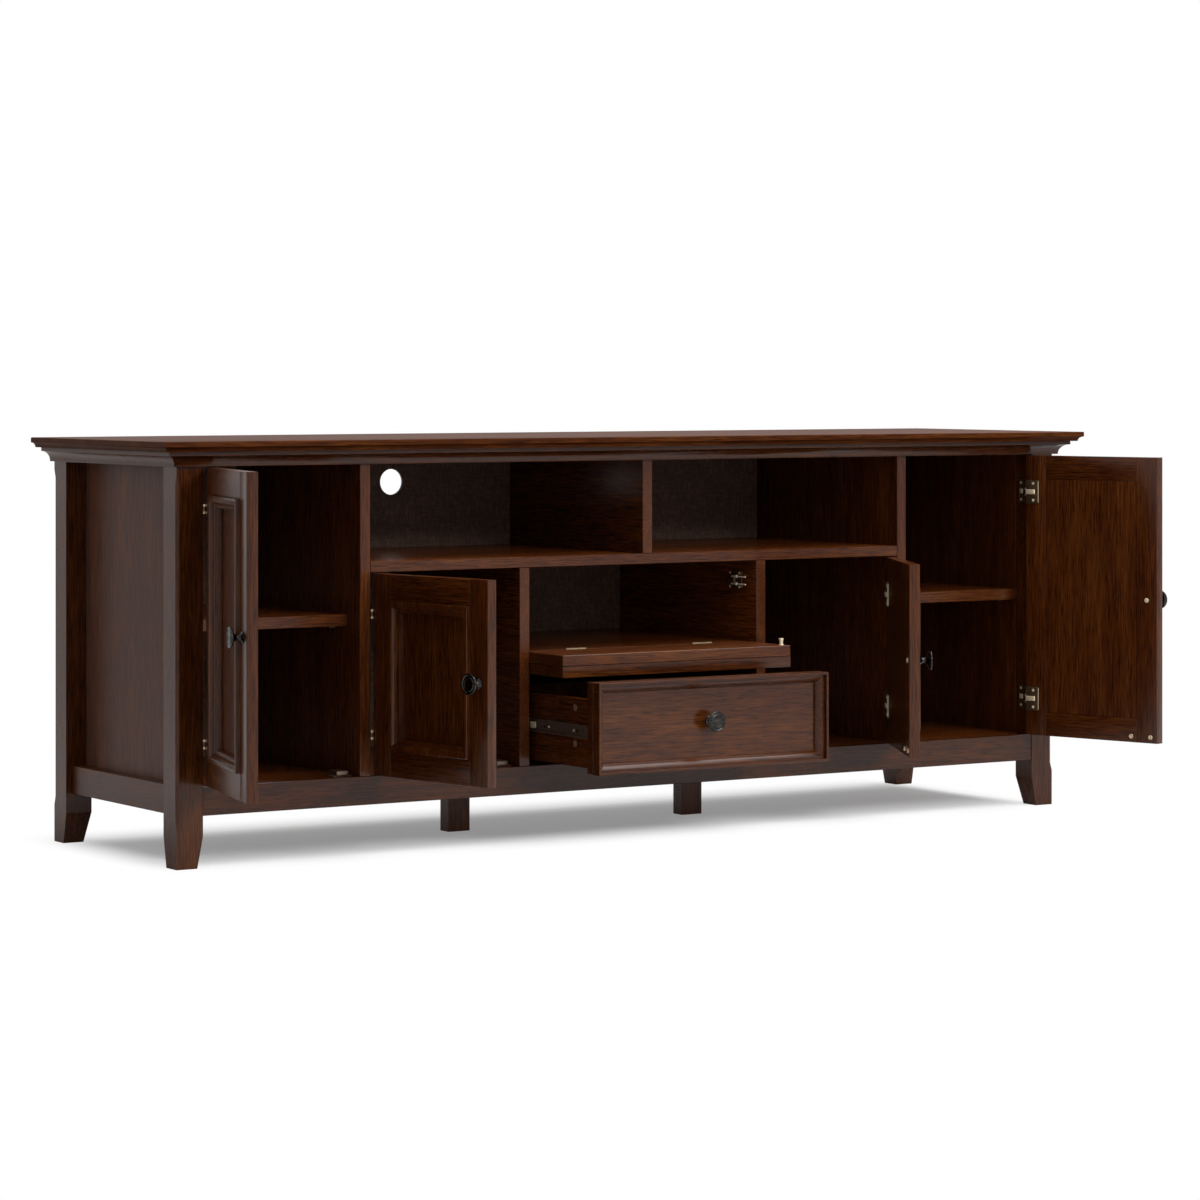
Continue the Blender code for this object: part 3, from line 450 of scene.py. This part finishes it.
# Cornice: a foot, a quarter hollow and a fillet, carried along three mitred lengths
def corniceLengths():
    bottom, step, arris, seat = (cornice[key] for key in ("bottom", "foot", "arris", "seat"))
    half, reach, upper = case["half"], step + cornice["cove"], case["slabBottom"] - seat
    hollow = arc((reach, bottom + cornice["lip"]), (-cornice["cove"], cornice["cove"]), 0, 90, 12)
    ends = [(seat, bottom), (step - arris, bottom), (step, bottom + arris)]
    out, z = np.concatenate([ends, hollow, [(reach, upper), (seat, upper)]]).T
    frontLength = np.array([np.column_stack([side * (half + out - seat), case["front"] - out, z])
                            for side in (-1, 1)])
    # The front length takes the darker copy of the wood: painted shade
    addPiece("corniceFront", [skin(frontLength)], shadedRailX, "cabinet", ["cornice_front"])
    for word, side in (("left", -1), ("right", 1)):
        length = np.array([np.column_stack([side * (half + out), case["front"] - out + seat, z]),
                           np.column_stack([side * (half + out), np.full_like(out, case["back"]), z])])
        addPiece("cornice" + word.title(), [skin(length)], woodY, "cabinet", ["cornice_" + word])


topSlab()
corniceLengths()
print("top slab and cornice")

# dish, ring, groove, rim, under and waist are in shares of the radius and the height
knob = {"radius": 0.0170, "height": 0.0225, "base": 0.0090, "neck": 0.0045, "flare": 2.6, "steps": 56,
        "dish": (0.50, 0.935, 0.12), "ring": ((0.59, 0.962), (0.07, 0.028)), "rim": ((0.90, 0.92), (0.10, 0.08)),
        "waist": (0.46, 0.37), "groove": ((0.69, 0.952), (0.72, 0.940), (0.77, 0.940), (0.80, 0.955)),
        "under": ((0.86, 0.790), (0.74, 0.745), (0.56, 0.700), (0.40, 0.640), (0.30, 0.560))}


# Knob profile: dished middle, raised ring, groove and rounded rim; hollow under the rim, waisted neck, flared base
def knobProfile():
    r, h = size = np.array([knob["radius"], knob["height"]])
    reach, middle, rise = knob["dish"]
    dish = np.linspace(0.001, reach, 8)
    face = np.column_stack([dish * r, h * (middle + rise * dish ** 2)])
    ring = arc(*(size * knob["ring"]), 165, 15, 8)
    rim = arc(*(size * knob["rim"]), 135, -75, 16)
    start, fall = knob["waist"]
    flare = np.linspace(0, 1, 10)
    width = knob["neck"] + (knob["base"] - knob["neck"]) * flare ** knob["flare"]
    neck = np.column_stack([width, h * (start - fall * flare)])
    base = [(knob["base"], 0.0), (axisRadius, 0.0)]
    return np.concatenate([face, ring, size * knob["groove"], rim, size * knob["under"], neck, base])


doorShape = {"edge": 0.00125, "far": 0.27825, "face": 0.0024, "thick": 0.018, "member": 0.042, "joint": 0.00015,
             "arris": 0.0008, "hingeInset": 0.065, "knobInset": 0.021, "knobScrew": (0.0042, 0.0018),
             "railDepth": 1.08, "railShift": (0.2, 0.3, 0.1)}
bolection = {"edge": 0.042, "proud": 0.0075, "round": 0.0012, "top": 0.0013, "ovolo": 0.010, "hollow": 0.006,
             "hollowDepth": 0.003, "sag": 0.8, "fall": 0.002, "fallDepth": 0.0065, "ledge": 0.0125}
doors = [
    {"name": "left_outer_door", "pivot": -0.82625, "hand": 1, "low": 0.1295, "high": 0.6285, "angle": 104.2,
     "wood": doorZ, "railRough": rough["doorRail"]},
    {"name": "left_inner_door", "pivot": -0.52625, "hand": 1, "low": 0.1295, "high": 0.4540, "angle": 79.3,
     "wood": woodZ, "railRough": rough["plain"]},
    {"name": "right_inner_door", "pivot": 0.52625, "hand": -1, "low": 0.1295, "high": 0.4540, "angle": 61.5,
     "wood": woodZ, "railRough": rough["plain"]},
    {"name": "right_outer_door", "pivot": 0.82625, "hand": -1, "low": 0.1295, "high": 0.6285, "angle": 106.3,
     "wood": woodZ, "railRough": rough["plain"]},
]


# Turn of the open door about its upright hinge line
def doorTurn(door):
    return -door["hand"] * math.radians(door["angle"])


# Door space (along the door, up, depth) to the open door: mirrored by the hand, turned by the angle,
# moved to the pivot
def doorPlace(door):
    turn = doorTurn(door)
    pivot = np.array([door["pivot"], case["front"] - doorShape["face"], 0.0])
    spin = np.array([[math.cos(turn), -math.sin(turn), 0], [math.sin(turn), math.cos(turn), 0], [0, 0, 1]])
    flip = np.array([[door["hand"], 0, 0], [0, 0, 1], [0, 1, 0]], float)
    return lambda points: points @ (spin @ flip).T + pivot


# Heights of a door's two hinges, each the inset away from an end
def hingeHeights(door):
    return door["low"] + doorShape["hingeInset"], door["high"] - doorShape["hingeInset"]


# Bolection section: wall, bead, ovolo, hollow and a fall to the panel, closed behind
def bolectionSection():
    b = bolection
    start = b["edge"] + b["round"] + b["top"]
    bead = arc((b["edge"] + b["round"], b["round"] - b["proud"]), (b["round"], b["round"]), 180, 270, 4)
    ovolo = arc((start, 0.0), (b["ovolo"], b["proud"]), -90, 0, 12)
    end = start + b["ovolo"]
    sag = np.linspace(0, 1, 7)[1:]
    hollow = np.column_stack([end + b["hollow"] * sag, b["hollowDepth"] * sag ** b["sag"]])
    inner = end + b["hollow"] + b["fall"]
    back = [(inner, b["hollowDepth"] + b["fallDepth"]), (inner, b["ledge"]), (b["edge"], b["ledge"])]
    return np.concatenate([bead, ovolo, hollow, back])


# Door boards: two stiles the height of the door, two rails between them, the bolection section round the frame
def doorBoards(door, word, place):
    name, low, high = door["name"], door["low"], door["high"]
    near, far, member, joint, arris = (doorShape[key] for key in ("edge", "far", "member", "joint", "arris"))
    face, back = doorShape["face"], doorShape["face"] + doorShape["thick"]
    shiftX, shiftY, shiftZ = doorShape["railShift"]
    railWood = woodFinish(word + "RailWood", (0, 0, doorTurn(door)), (shiftX + door["pivot"], shiftY, shiftZ),
                          doorShape["railDepth"], door["railRough"])
    stiles = [slab(rectangle((a, low), (b, high)), face, back, arris, place)
              for a, b in ((near, near + member), (far - member, far))]
    addPiece(word + "Stiles", stiles, door["wood"], name, [name + "_frame"])
    left, right = near + member + joint, far - member - joint
    rails = [slab(rectangle((left, a), (right, b)), face, back, arris, place)
             for a, b in ((low, low + member), (high - member, high))]
    addPiece(word + "Rails", rails, railWood, name)
    ring = frameRing(bolectionSection() + (0.0, face), (near, low), (far, high), place)
    addPiece(word + "Moulding", [ring], door["wood"], name)


leaf = {"plate": (0.0270, 0.0420), "thick": 0.0012, "corner": 0.002, "arris": 0.0004, "seat": 0.0004,
        "tab": 0.0016, "tabArris": 0.0002, "knuckle": 0.0022, "barrel": 0.0075, "middle": 0.0039,
        "rim": 0.0004, "highlightProud": 0.0001, "highlightSeat": 0.0002,
        "arm": (0.0205, 0.0043, 0.0022), "armStart": 0.0008, "armCorner": 0.0012, "armArris": 0.0014,
        "armSeat": 0.0003,
        "screws": (0.0175, 0.0150), "screwHead": (0.0025, 0.0009)}


# Knob with its screw behind, and on each hinge: a plate with a pale strip on its far edge as a painted highlight,
# two tabs with turned knuckles, a rounded arm and two screws
def doorFittings(door, word, place, normal):
    name, near, face = door["name"], doorShape["edge"], doorShape["face"]
    back = face + doorShape["thick"]
    outer = back + leaf["thick"]
    knobSpot = np.array([doorShape["far"] - doorShape["knobInset"], (door["low"] + door["high"]) / 2, face])
    addPiece(word + "Knob", [turned(knobProfile(), place(knobSpot), -normal, knob["steps"])], bronze, name,
             [name + "_knob"])
    plates, knuckles, arms = [], [], []
    heads = [screwHead(place(knobSpot + (0, 0, doorShape["thick"])), normal, *doorShape["knobScrew"])]
    width, tall = leaf["plate"]
    length, halfTall, lift = leaf["arm"]
    edge, proud = near + width, leaf["highlightProud"]
    for z in hingeHeights(door):
        low, high = z - tall / 2, z + tall / 2
        plates.append(slab(roundRectangle((near, low), (edge, high), leaf["corner"]), back - leaf["seat"], outer,
                           leaf["arris"], place))
        for way in (-1, 1):
            bottom, upper = sorted((z + way * leaf["middle"], z + way * leaf["barrel"]))
            tab = rectangle((-leaf["tab"] / 2, bottom), (near + leaf["seat"], upper))
            knuckles.append(slab(tab, 0.0, outer, leaf["tabArris"], place))
            ends = [(axisRadius, 0.0), (leaf["knuckle"], 0.0), (leaf["knuckle"], upper - bottom),
                    (axisRadius, upper - bottom)]
            knuckles.append(turned(ends, place(np.array([0.0, bottom, 0.0])), (0, 0, 1), 24))
            spot = np.array([leaf["screws"][0], z + way * leaf["screws"][1], outer])
            heads.append(screwHead(place(spot), normal, *leaf["screwHead"]))
        # Pale strip proud of the plate's far edge: a painted highlight where the edge catches light
        rim = rectangle((edge - leaf["rim"], low + leaf["corner"]), (edge + proud, high - leaf["corner"]))
        arms.append(slab(rim, back - leaf["highlightSeat"], outer + proud, proud, place))
        arm = roundRectangle((near + leaf["armStart"], z - halfTall), (near + length, z + halfTall),
                             leaf["armCorner"])
        arms.append(slab(arm, outer - leaf["armSeat"], outer + lift, leaf["armArris"], place, 4))
    addPiece(word + "HingeLeaves", plates, brass, name)
    addPiece(word + "HingeKnuckles", knuckles, knuckleBrass, name)
    addPiece(word + "HingeArms", arms, paleBrass, name)
    addPiece(word + "Screws", heads, paleBrass, name)


# the profile is in shares of the radius and the thickness
strike = {"radius": 0.0041, "thick": 0.0016, "profile": ((1.0, 0.8), (0.94, 1.0), (0.55, 1.0), (0.42, 0.72)),
          "count": 2, "height": 0.0105, "first": 0.013, "spacing": 0.040}


# Strike discs on the back: turned, with a worn edge and a dished middle
def doorStrikes(door, word, place, normal):
    size = np.array([strike["radius"], strike["thick"]])
    face = size * strike["profile"]
    profile = np.concatenate([[(size[0], -foot)], face, [(axisRadius, face[-1, 1])]])
    z, back = door["low"] + strike["height"], doorShape["face"] + doorShape["thick"]
    along = doorShape["far"] - strike["first"] - strike["spacing"] * np.arange(strike["count"])
    discs = [turned(profile, place(np.array([x, z, back])), normal, 32) for x in along]
    addPiece(word + "Strikes", discs, knuckleBrass, door["name"])


for door in doors:
    doorWord = "".join(part.title() for part in door["name"].split("_"))
    openPlace = doorPlace(door)
    backward = openPlace(np.array([0.0, 0.0, 1.0])) - openPlace(np.zeros(3))
    doorBoards(door, doorWord, openPlace)
    doorFittings(door, doorWord, openPlace, backward)
    doorStrikes(door, doorWord, openPlace, backward)
print("doors")

front = {"half": 0.2265, "strip": 0.0043, "step": 0.0065, "ledge": 0.0040, "bevel": (0.0093, 0.0105), "swell": 0.0007,
         "thick": 0.0185, "arris": 0.0006, "knobRise": 0.0025, "knobGap": 0.0003}
drawerAt = {"face": -0.440, "low": 0.130, "high": 0.278, "side": 0.2148}
flapAt = {"near": 0.0017, "far": 0.1202, "pivotY": -0.2090, "pivotZ": 0.316, "under": 0.0365, "gap": 0.0001}


# Applied moulding section: strip, step, ledge and a slightly swelled bevel, with small rounds at the corners
def appliedSection(thick):
    a, strip, step = front["arris"], front["strip"], front["step"]
    width, depth = front["bevel"]
    outer = arc((a, a), (a, a), 180, 270, 4)
    inner = arc((strip - a, a), (a, a), -90, 0, 4)
    along = np.linspace(0, 1, 11)
    swell = front["swell"] * np.sin(math.pi * along)
    start = strip + front["ledge"]
    bevel = np.column_stack([start + width * along + swell, step + depth * along - swell])
    return np.concatenate([[(0.0, thick)], outer, inner, [(strip, step)], bevel, [(start + width, thick)]])


# Drawer and flap faces: the section ring on each slab, the flap's turned down by its hinge, and the drawer's knob
def frontMouldings():
    half, thick = front["half"], front["thick"]
    drawerPlace = lambda p: np.stack([p[..., 0], drawerAt["face"] + p[..., 2], p[..., 1]], axis=-1)
    flapPlace = lambda p: np.stack([p[..., 0], flapAt["pivotY"] - p[..., 1],
                                    flapAt["pivotZ"] - flapAt["under"] + p[..., 2]], axis=-1)
    ring = frameRing(appliedSection(thick), (-half, drawerAt["low"]), (half, drawerAt["high"]), drawerPlace)
    addPiece("drawerMoulding", [ring], woodX, "drawer", ["drawer_front_moulding"])
    ring = frameRing(appliedSection(thick - flapAt["gap"]), (-half, flapAt["near"]), (half, flapAt["far"]), flapPlace)
    addPiece("flapMoulding", [ring], woodX, "flap", ["flap_moulding"])
    knobZ = (drawerAt["low"] + drawerAt["high"]) / 2 + front["knobRise"]
    spot = (0.0, drawerAt["face"] + thick + front["knobGap"], knobZ)
    addPiece("drawerKnob", [turned(knobProfile(), spot, (0, -1, 0), knob["steps"])], bronze, "drawer",
             ["drawer_knob"])


frontMouldings()
print("drawer and flap faces")

catch = {"places": (-0.568, -0.268, 0.268, 0.568), "front": -0.2072, "depth": 0.0264, "floor": 0.128, "seat": 0.0003,
         "plate": 0.0182, "plateTop": 0.0017, "plateCorner": 0.004, "plateArris": 0.0003,
         "body": 0.0107, "bodyTop": 0.0087, "bodyArris": 0.0006,
         "pole": 0.0098, "poleLow": 0.0022, "poleCorner": 0.0004, "poleDepth": 0.0030, "poleArris": 0.0001,
         "screws": 0.0144, "screwHead": (0.0031, 0.0011)}


# Magnetic catches: a screwed plate, a rounded plastic body and a pale pole plate let into its front
def doorCatches():
    bodies, plates, poles, heads = [], [], [], []
    level, seat, arris = catch["floor"], catch["seat"], catch["bodyArris"]
    y0, y1 = catch["front"], catch["front"] + catch["depth"]
    plateTop, bodyTop = level + catch["plateTop"], level + catch["bodyTop"]
    up = lambda p: p
    forward = lambda p: np.stack([p[..., 0], y0 + p[..., 2], p[..., 1]], axis=-1)
    for x in catch["places"]:
        outline = roundRectangle((x - catch["plate"], y0), (x + catch["plate"], y1), catch["plateCorner"])
        plates.append(slab(outline, level - seat, plateTop, catch["plateArris"], up))
        outline = roundRectangle((x - catch["body"], y0), (x + catch["body"], y1), arris)
        bodies.append(slab(outline, level, bodyTop, arris, up))
        outline = roundRectangle((x - catch["pole"], level + catch["poleLow"]), (x + catch["pole"], bodyTop - arris),
                                 catch["poleCorner"])
        poles.append(slab(outline, -seat, catch["poleDepth"], catch["poleArris"], forward))
        for side in (-1, 1):
            spot = (x + side * catch["screws"], (y0 + y1) / 2, plateTop)
            heads.append(screwHead(spot, (0, 0, 1), *catch["screwHead"]))
    addPiece("catchPlates", plates, plastic, "cabinet")
    addPiece("catchBodies", bodies, plastic, "cabinet")
    addPiece("catchPoles", poles, poleSteel, "cabinet")
    addPiece("catchScrews", heads, brass, "cabinet")


pin = {"radius": 0.00262, "length": 0.0093, "tip": 0.0006, "seat": 0.0005, "z": 0.3652, "depths": (-0.142, 0.136),
       "sidePanel": 0.8275, "divider": 0.5465}


# Shelf pins: short turned pegs with rounded tips
def shelfPegs():
    r, length, tip = pin["radius"], pin["length"], pin["tip"]
    profile = np.concatenate([[(r, -pin["seat"])], arc((r - tip, length - tip), (tip, tip), 0, 90, 4),
                              [(axisRadius, length)]])
    pegs = []
    for side in (-1, 1):
        for y in pin["depths"]:
            pegs.append(turned(profile, (side * pin["sidePanel"], y, pin["z"]), (-side, 0, 0), 24))
            pegs.append(turned(profile, (side * pin["divider"], y, pin["z"]), (side, 0, 0), 24))
    addPiece("shelfPegs", pegs, brass, "cabinet")


fixedLeaf = {"face": 0.0008, "screwDepth": 0.0302, "screwRise": 0.0150, "screwHead": (0.0024, 0.0008),
             "pad": (0.0248, 0.0335), "padHalf": 0.0043, "padCorner": 0.0012, "padTop": 0.0012, "padArris": 0.0008,
             "seat": 0.0003}


# Screws and a rounded pad on each fixed hinge leaf
def leafScrews():
    heads, pads = [], []
    pivotY = case["front"] - doorShape["face"]
    start, stop = fixedLeaf["pad"]
    for door in doors:
        hand = door["hand"]
        inward = lambda p: np.stack([door["pivot"] + hand * (fixedLeaf["face"] + p[..., 2]), pivotY + p[..., 0],
                                     p[..., 1]], axis=-1)
        for z in hingeHeights(door):
            outline = roundRectangle((start, z - fixedLeaf["padHalf"]), (stop, z + fixedLeaf["padHalf"]),
                                     fixedLeaf["padCorner"])
            pads.append(slab(outline, -fixedLeaf["seat"], fixedLeaf["padTop"], fixedLeaf["padArris"], inward))
            for way in (-1, 1):
                spot = (door["pivot"] + hand * fixedLeaf["face"], pivotY + fixedLeaf["screwDepth"],
                        z + way * fixedLeaf["screwRise"])
                heads.append(screwHead(spot, (hand, 0, 0), *fixedLeaf["screwHead"]))
    addPiece("leafScrews", heads, paleBrass, "cabinet")
    addPiece("leafPads", pads, paleBrass, "cabinet")


# the flange holds (radius, height) from the flap's face up, the shank's span its heights
strikePin = {"place": (0.219, -0.3125, 0.316), "shank": 0.0033, "head": 0.0040, "length": 0.0114, "tip": 0.0003,
             "flange": ((0.0046, 0.0007), (0.0043, 0.0010)), "shankSpan": (0.0012, 0.0074), "headStart": 0.0077}


# Strike pin of the flap: a flanged shank and a rounded head
def flapPin():
    shank, head, length, tip = (strikePin[key] for key in ("shank", "head", "length", "tip"))
    flange = strikePin["flange"]
    stem = [(flange[0][0], -foot), *flange, *((shank, z) for z in strikePin["shankSpan"]),
            (head, strikePin["headStart"])]
    profile = np.concatenate([stem, arc((head - tip, length - tip), (tip, tip), 0, 90, 3), [(axisRadius, length)]])
    addPiece("flapPin", [turned(profile, strikePin["place"], (0, 0, 1), 36)], paleBrass, "flap")


roller = {"wall": 0.2272, "x": 0.219, "z": 0.4195, "start": -0.2070,
          "arm": 0.0380, "offset": 0.0064, "radius": 0.0020,
          "rod": 0.0013, "knot": 0.0280, "knotSize": (0.0008, 0.0036), "tail": 0.006, "taper": 0.001,
          "plate": (0.037, 0.030, 0.002), "plateCorner": 0.003, "plateArris": 0.0004,
          "body": 0.016, "bodyCorner": 0.0015, "bodyArris": 0.0010, "bodyGap": 0.0008,
          "screwInsets": (0.006, 0.0028), "screwRise": 0.0118, "screwHead": (0.0024, 0.0009)}


# Roller catch: a screwed plate, a low rounded housing and two thin turned arms that swell at their pivots
def rollerCatch():
    wall, z, rod, armEnd = roller["wall"], roller["z"], roller["rod"], roller["start"] + roller["arm"]
    length, tall, thick = roller["plate"]
    start, reach = armEnd - roller["body"], roller["offset"] + roller["radius"]
    stop = start + length
    inward = lambda p: np.stack([wall - p[..., 2], p[..., 0], p[..., 1]], axis=-1)
    plate = slab(roundRectangle((start, z - tall / 2), (stop, z + tall / 2), roller["plateCorner"]), 0.0, thick,
                 roller["plateArris"], inward)
    outline = roundRectangle((armEnd, z - reach), (armEnd + roller["body"], z + reach), roller["bodyCorner"])
    housing = slab(outline, thick - roller["plateArris"], wall - roller["x"] - roller["bodyGap"], roller["bodyArris"],
                   inward)
    wider, longer = roller["knotSize"]
    tip = arc((0.0, rod), (rod, -rod), 89, 0, 6)
    swelling = arc((0.0, roller["knot"]), (roller["radius"] + wider, longer), -65, 65, 10)
    tail = roller["arm"] + roller["tail"]
    profile = np.concatenate([tip, swelling, [(rod, tail - roller["taper"]), (axisRadius, tail)]])
    arms = [turned(profile, (roller["x"], roller["start"], z + way * roller["offset"]), (0, 1, 0), 24)
            for way in (-1, 1)]
    near, far = roller["screwInsets"]
    heads = [screwHead((wall - thick, y, z + way * roller["screwRise"]), (-1, 0, 0), *roller["screwHead"])
             for y in (start + near, stop - far) for way in (1, -1)]
    addPiece("rollerCatchPlate", [plate, housing], brass, "cabinet", ["flap_roller_catch"])
    addPiece("rollerCatchArms", arms, paintedGlintBrass, "cabinet")
    addPiece("rollerCatchScrews", heads, paleBrass, "cabinet")


drawerFit = {"web": 0.2163, "slideZ": 0.1955,
             "cams": ((-0.3486, 0.2325), (-0.3486, 0.1743)), "camHead": (0.0058, 0.0005, 40),
             "screws": (-0.3464, -0.2700, -0.1260), "screwHead": (0.0021, 0.0010),
             "holes": (-0.3573, -0.2574, -0.1390),
             "hole": ((0.0026, -0.0001), (0.0026, 0.00012), (0.0022, 0.00018), (0.0019, 0.00005),
                      (axisRadius, 0.00005)),
             "keepers": (-0.2269, -0.2207, -0.2145), "keeper": (0.0015, 0.0056), "keeperCorner": 0.0012,
             "keeperTop": 0.0018, "keeperArris": 0.0006}


# Drawer side fittings: cam heads in the wood; screws, punched holes and a keeper of rounded bars on the slide member
def drawerFittings():
    cams, heads, holes, keepers = [], [], [], []
    z, (halfBar, halfTall) = drawerFit["slideZ"], drawerFit["keeper"]
    for side in (-1, 1):
        web, out = side * drawerFit["web"], (side, 0, 0)
        onWeb = lambda p: np.stack([side * (drawerFit["web"] + p[..., 2]), p[..., 0], p[..., 1]], axis=-1)
        for y in drawerFit["keepers"]:
            bar = roundRectangle((y - halfBar, z - halfTall), (y + halfBar, z + halfTall), drawerFit["keeperCorner"])
            keepers.append(slab(bar, -foot, drawerFit["keeperTop"], drawerFit["keeperArris"], onWeb))
        cams += [screwHead((side * drawerAt["side"], *spot), out, *drawerFit["camHead"])
                 for spot in drawerFit["cams"]]
        heads += [screwHead((web, y, z), out, *drawerFit["screwHead"]) for y in drawerFit["screws"]]
        holes += [turned(drawerFit["hole"], (web, y, z), out, 24) for y in drawerFit["holes"]]
    addPiece("drawerCams", cams, camZinc, "drawer")
    addPiece("slideScrews", heads, paleBrass, "drawer")
    addPiece("slideKeepers", keepers, paleBrass, "drawer")
    addPiece("slideHoles", holes, bronze, "drawer")


sheetBack = {"y": 0.2100, "half": 0.8195, "low": 0.108, "high": 0.643, "columns": 11, "rows": 5, "divider": 0.537,
             "brad": ((0.0021, -foot), (0.0021, 0.0003), (0.0014, 0.0006), (axisRadius, 0.0007))}


# Brads round the edge of the back sheet and down the lines of the dividers
def backBrads():
    half, low, high, divider = (sheetBack[key] for key in ("half", "low", "high", "divider"))
    spots = [(x, z) for x in np.linspace(-half, half, sheetBack["columns"]) for z in (low, high)]
    rise = np.linspace(low, high, sheetBack["rows"])[1:-1]
    spots += [(x, z) for x in (-half, -divider, divider, half) for z in rise]
    brads = [turned(sheetBack["brad"], (x, sheetBack["y"], z), (0, 1, 0), 20) for x, z in spots]
    addPiece("backBrads", brads, steel, "cabinet")


doorCatches()
shelfPegs()
leafScrews()
flapPin()
rollerCatch()
drawerFittings()
backBrads()
print("small fittings")

# middle, full and gone are (width, depth) of the seen shadow; bounce is the floor's colour for light thrown back
stand = {"floor": (0.92, 0.92, 0.92), "size": 30.0, "lines": 9, "bounce": (0.35, 0.35, 0.35), "middle": (0.0, 0.02),
         "full": (0.80, 0.10), "gone": (0.93, 0.33), "lift": 0.25}


# Floor finish: a product of smooth steps in width and depth keeps the seen shadow under the case, white beyond
def floorFinish():
    material, tree, shader = newMaterial("paleFloor")
    shader.inputs["Roughness"].default_value = 1.0
    shader.inputs["Specular IOR Level"].default_value = 0.0
    parts = positionParts(tree)
    falls = []
    for axis, middle, full, gone in zip("XY", stand["middle"], stand["full"], stand["gone"]):
        distance = worked(tree, "ABSOLUTE", worked(tree, "SUBTRACT", parts[axis], middle))
        falls.append(mapped(tree, distance, (full, gone), (1.0, 0.0), "SMOOTHSTEP"))
    under = worked(tree, "MULTIPLY", *falls)
    white = mapped(tree, under, (0.0, 1.0), (1.0, stand["lift"]))
    path = addNode(tree, "LightPath")
    thrown = addNode(tree, "Mix")
    thrown.data_type = "RGBA"
    thrown.inputs[mixColor["first"]].default_value = (*stand["floor"], 1.0)
    thrown.inputs[mixColor["second"]].default_value = (*stand["bounce"], 1.0)
    tree.links.new(path.outputs["Is Diffuse Ray"], thrown.inputs[mixColor["factor"]])
    tree.links.new(thrown.outputs[mixColor["result"]], shader.inputs["Base Color"])
    glow = addNode(tree, "Emission", {"Strength": 1.0})
    mix = addNode(tree, "MixShader")
    tree.links.new(worked(tree, "MULTIPLY", white, path.outputs["Is Camera Ray"]), mix.inputs[0])
    tree.links.new(shader.outputs[0], mix.inputs[1])
    tree.links.new(glow.outputs[0], mix.inputs[2])
    tree.links.new(mix.outputs[0], tree.nodes["Material Output"].inputs["Surface"])
    return material


# Floor: a level square grid
def floorSheet():
    lines = stand["lines"]
    line = np.linspace(-stand["size"], stand["size"], lines)
    x, y = np.meshgrid(line, line, indexing="ij")
    index = np.arange(lines * lines).reshape(lines, lines)
    faces = np.stack([index[:-1, :-1], index[1:, :-1], index[1:, 1:], index[:-1, 1:]], axis=-1).reshape(-1, 4)
    mesh = bpy.data.meshes.new("floorSheet")
    mesh.from_pydata(np.stack([x, y, np.zeros_like(x)], axis=-1).reshape(-1, 3).tolist(), [], faces.tolist())
    mesh.materials.append(floorFinish())
    sheet = bpy.data.objects.new("floorSheet", mesh)
    bpy.context.scene.collection.objects.link(sheet)


studio = {
    "fill": 0.52,
    "white": 1.0,
    "lamps": [
        {"name": "frontBox", "place": (0.9, -5.8, 2.9), "aim": (0.0, 0.0, 0.35), "size": (2.4, 1.2), "power": 152.0},
        {"name": "leftWall", "place": (-4.0, 2.8, 1.0), "aim": (-0.9, 0.0, 0.7), "size": (5.0, 2.2), "power": 7.0},
        {"name": "rightWall", "place": (4.3, -6.2, 0.9), "aim": (0.0, 0.0, 0.5), "size": (4.0, 1.8), "power": 5.5},
        {"name": "topBox", "place": (1.3, -1.1, 3.9), "aim": (0.0, 0.0, 0.0), "size": (4.0, 2.6), "power": 190.0},
    ],
}


# World: white to the camera and in reflections, a low even fill for the rest; the lamps are soft boxes
def studioLight():
    world = bpy.data.worlds.new("studio")
    world.use_nodes = True
    bpy.context.scene.world = world
    tree = world.node_tree
    fill, white = (addNode(tree, "Background", {"Color": (1.0, 1.0, 1.0, 1.0), "Strength": studio[key]}).outputs[0]
                   for key in ("fill", "white"))
    path = addNode(tree, "LightPath")
    result = fill
    for ray in ("Is Camera Ray", "Is Glossy Ray", "Is Transmission Ray"):
        mix = addNode(tree, "MixShader")
        tree.links.new(path.outputs[ray], mix.inputs[0])
        tree.links.new(result, mix.inputs[1])
        tree.links.new(white, mix.inputs[2])
        result = mix.outputs[0]
    tree.links.new(result, tree.nodes["World Output"].inputs["Surface"])
    for box in studio["lamps"]:
        lamp = bpy.data.lights.new(box["name"], "AREA")
        lamp.shape = "RECTANGLE"
        lamp.size, lamp.size_y = box["size"]
        lamp.energy = box["power"]
        light = bpy.data.objects.new(box["name"], lamp)
        light.location = box["place"]
        aim = Vector(box["aim"]) - Vector(box["place"])
        light.rotation_euler = aim.to_track_quat("-Z", "Y").to_euler()
        light.visible_camera = False
        bpy.context.scene.collection.objects.link(light)


photoView = {"place": (-3.6243, -5.7821, 0.7842), "yaw": 32.467, "lens": 118.416, "sensor": 36.0, "shift": -0.19317}


# Camera: level, turned by the yaw, with the frame dropped below the horizon
def photoCamera():
    data = bpy.data.cameras.new("photoView")
    data.sensor_width = photoView["sensor"]
    data.lens = photoView["lens"]
    data.shift_y = photoView["shift"]
    camera = bpy.data.objects.new("photoView", data)
    camera.location = photoView["place"]
    camera.rotation_euler = (quarter, 0.0, -math.radians(photoView["yaw"]))
    bpy.context.scene.collection.objects.link(camera)
    bpy.context.scene.camera = camera


floorSheet()
studioLight()
photoCamera()
bpy.context.scene.view_settings.view_transform = "Standard"
print("floor, light and camera")
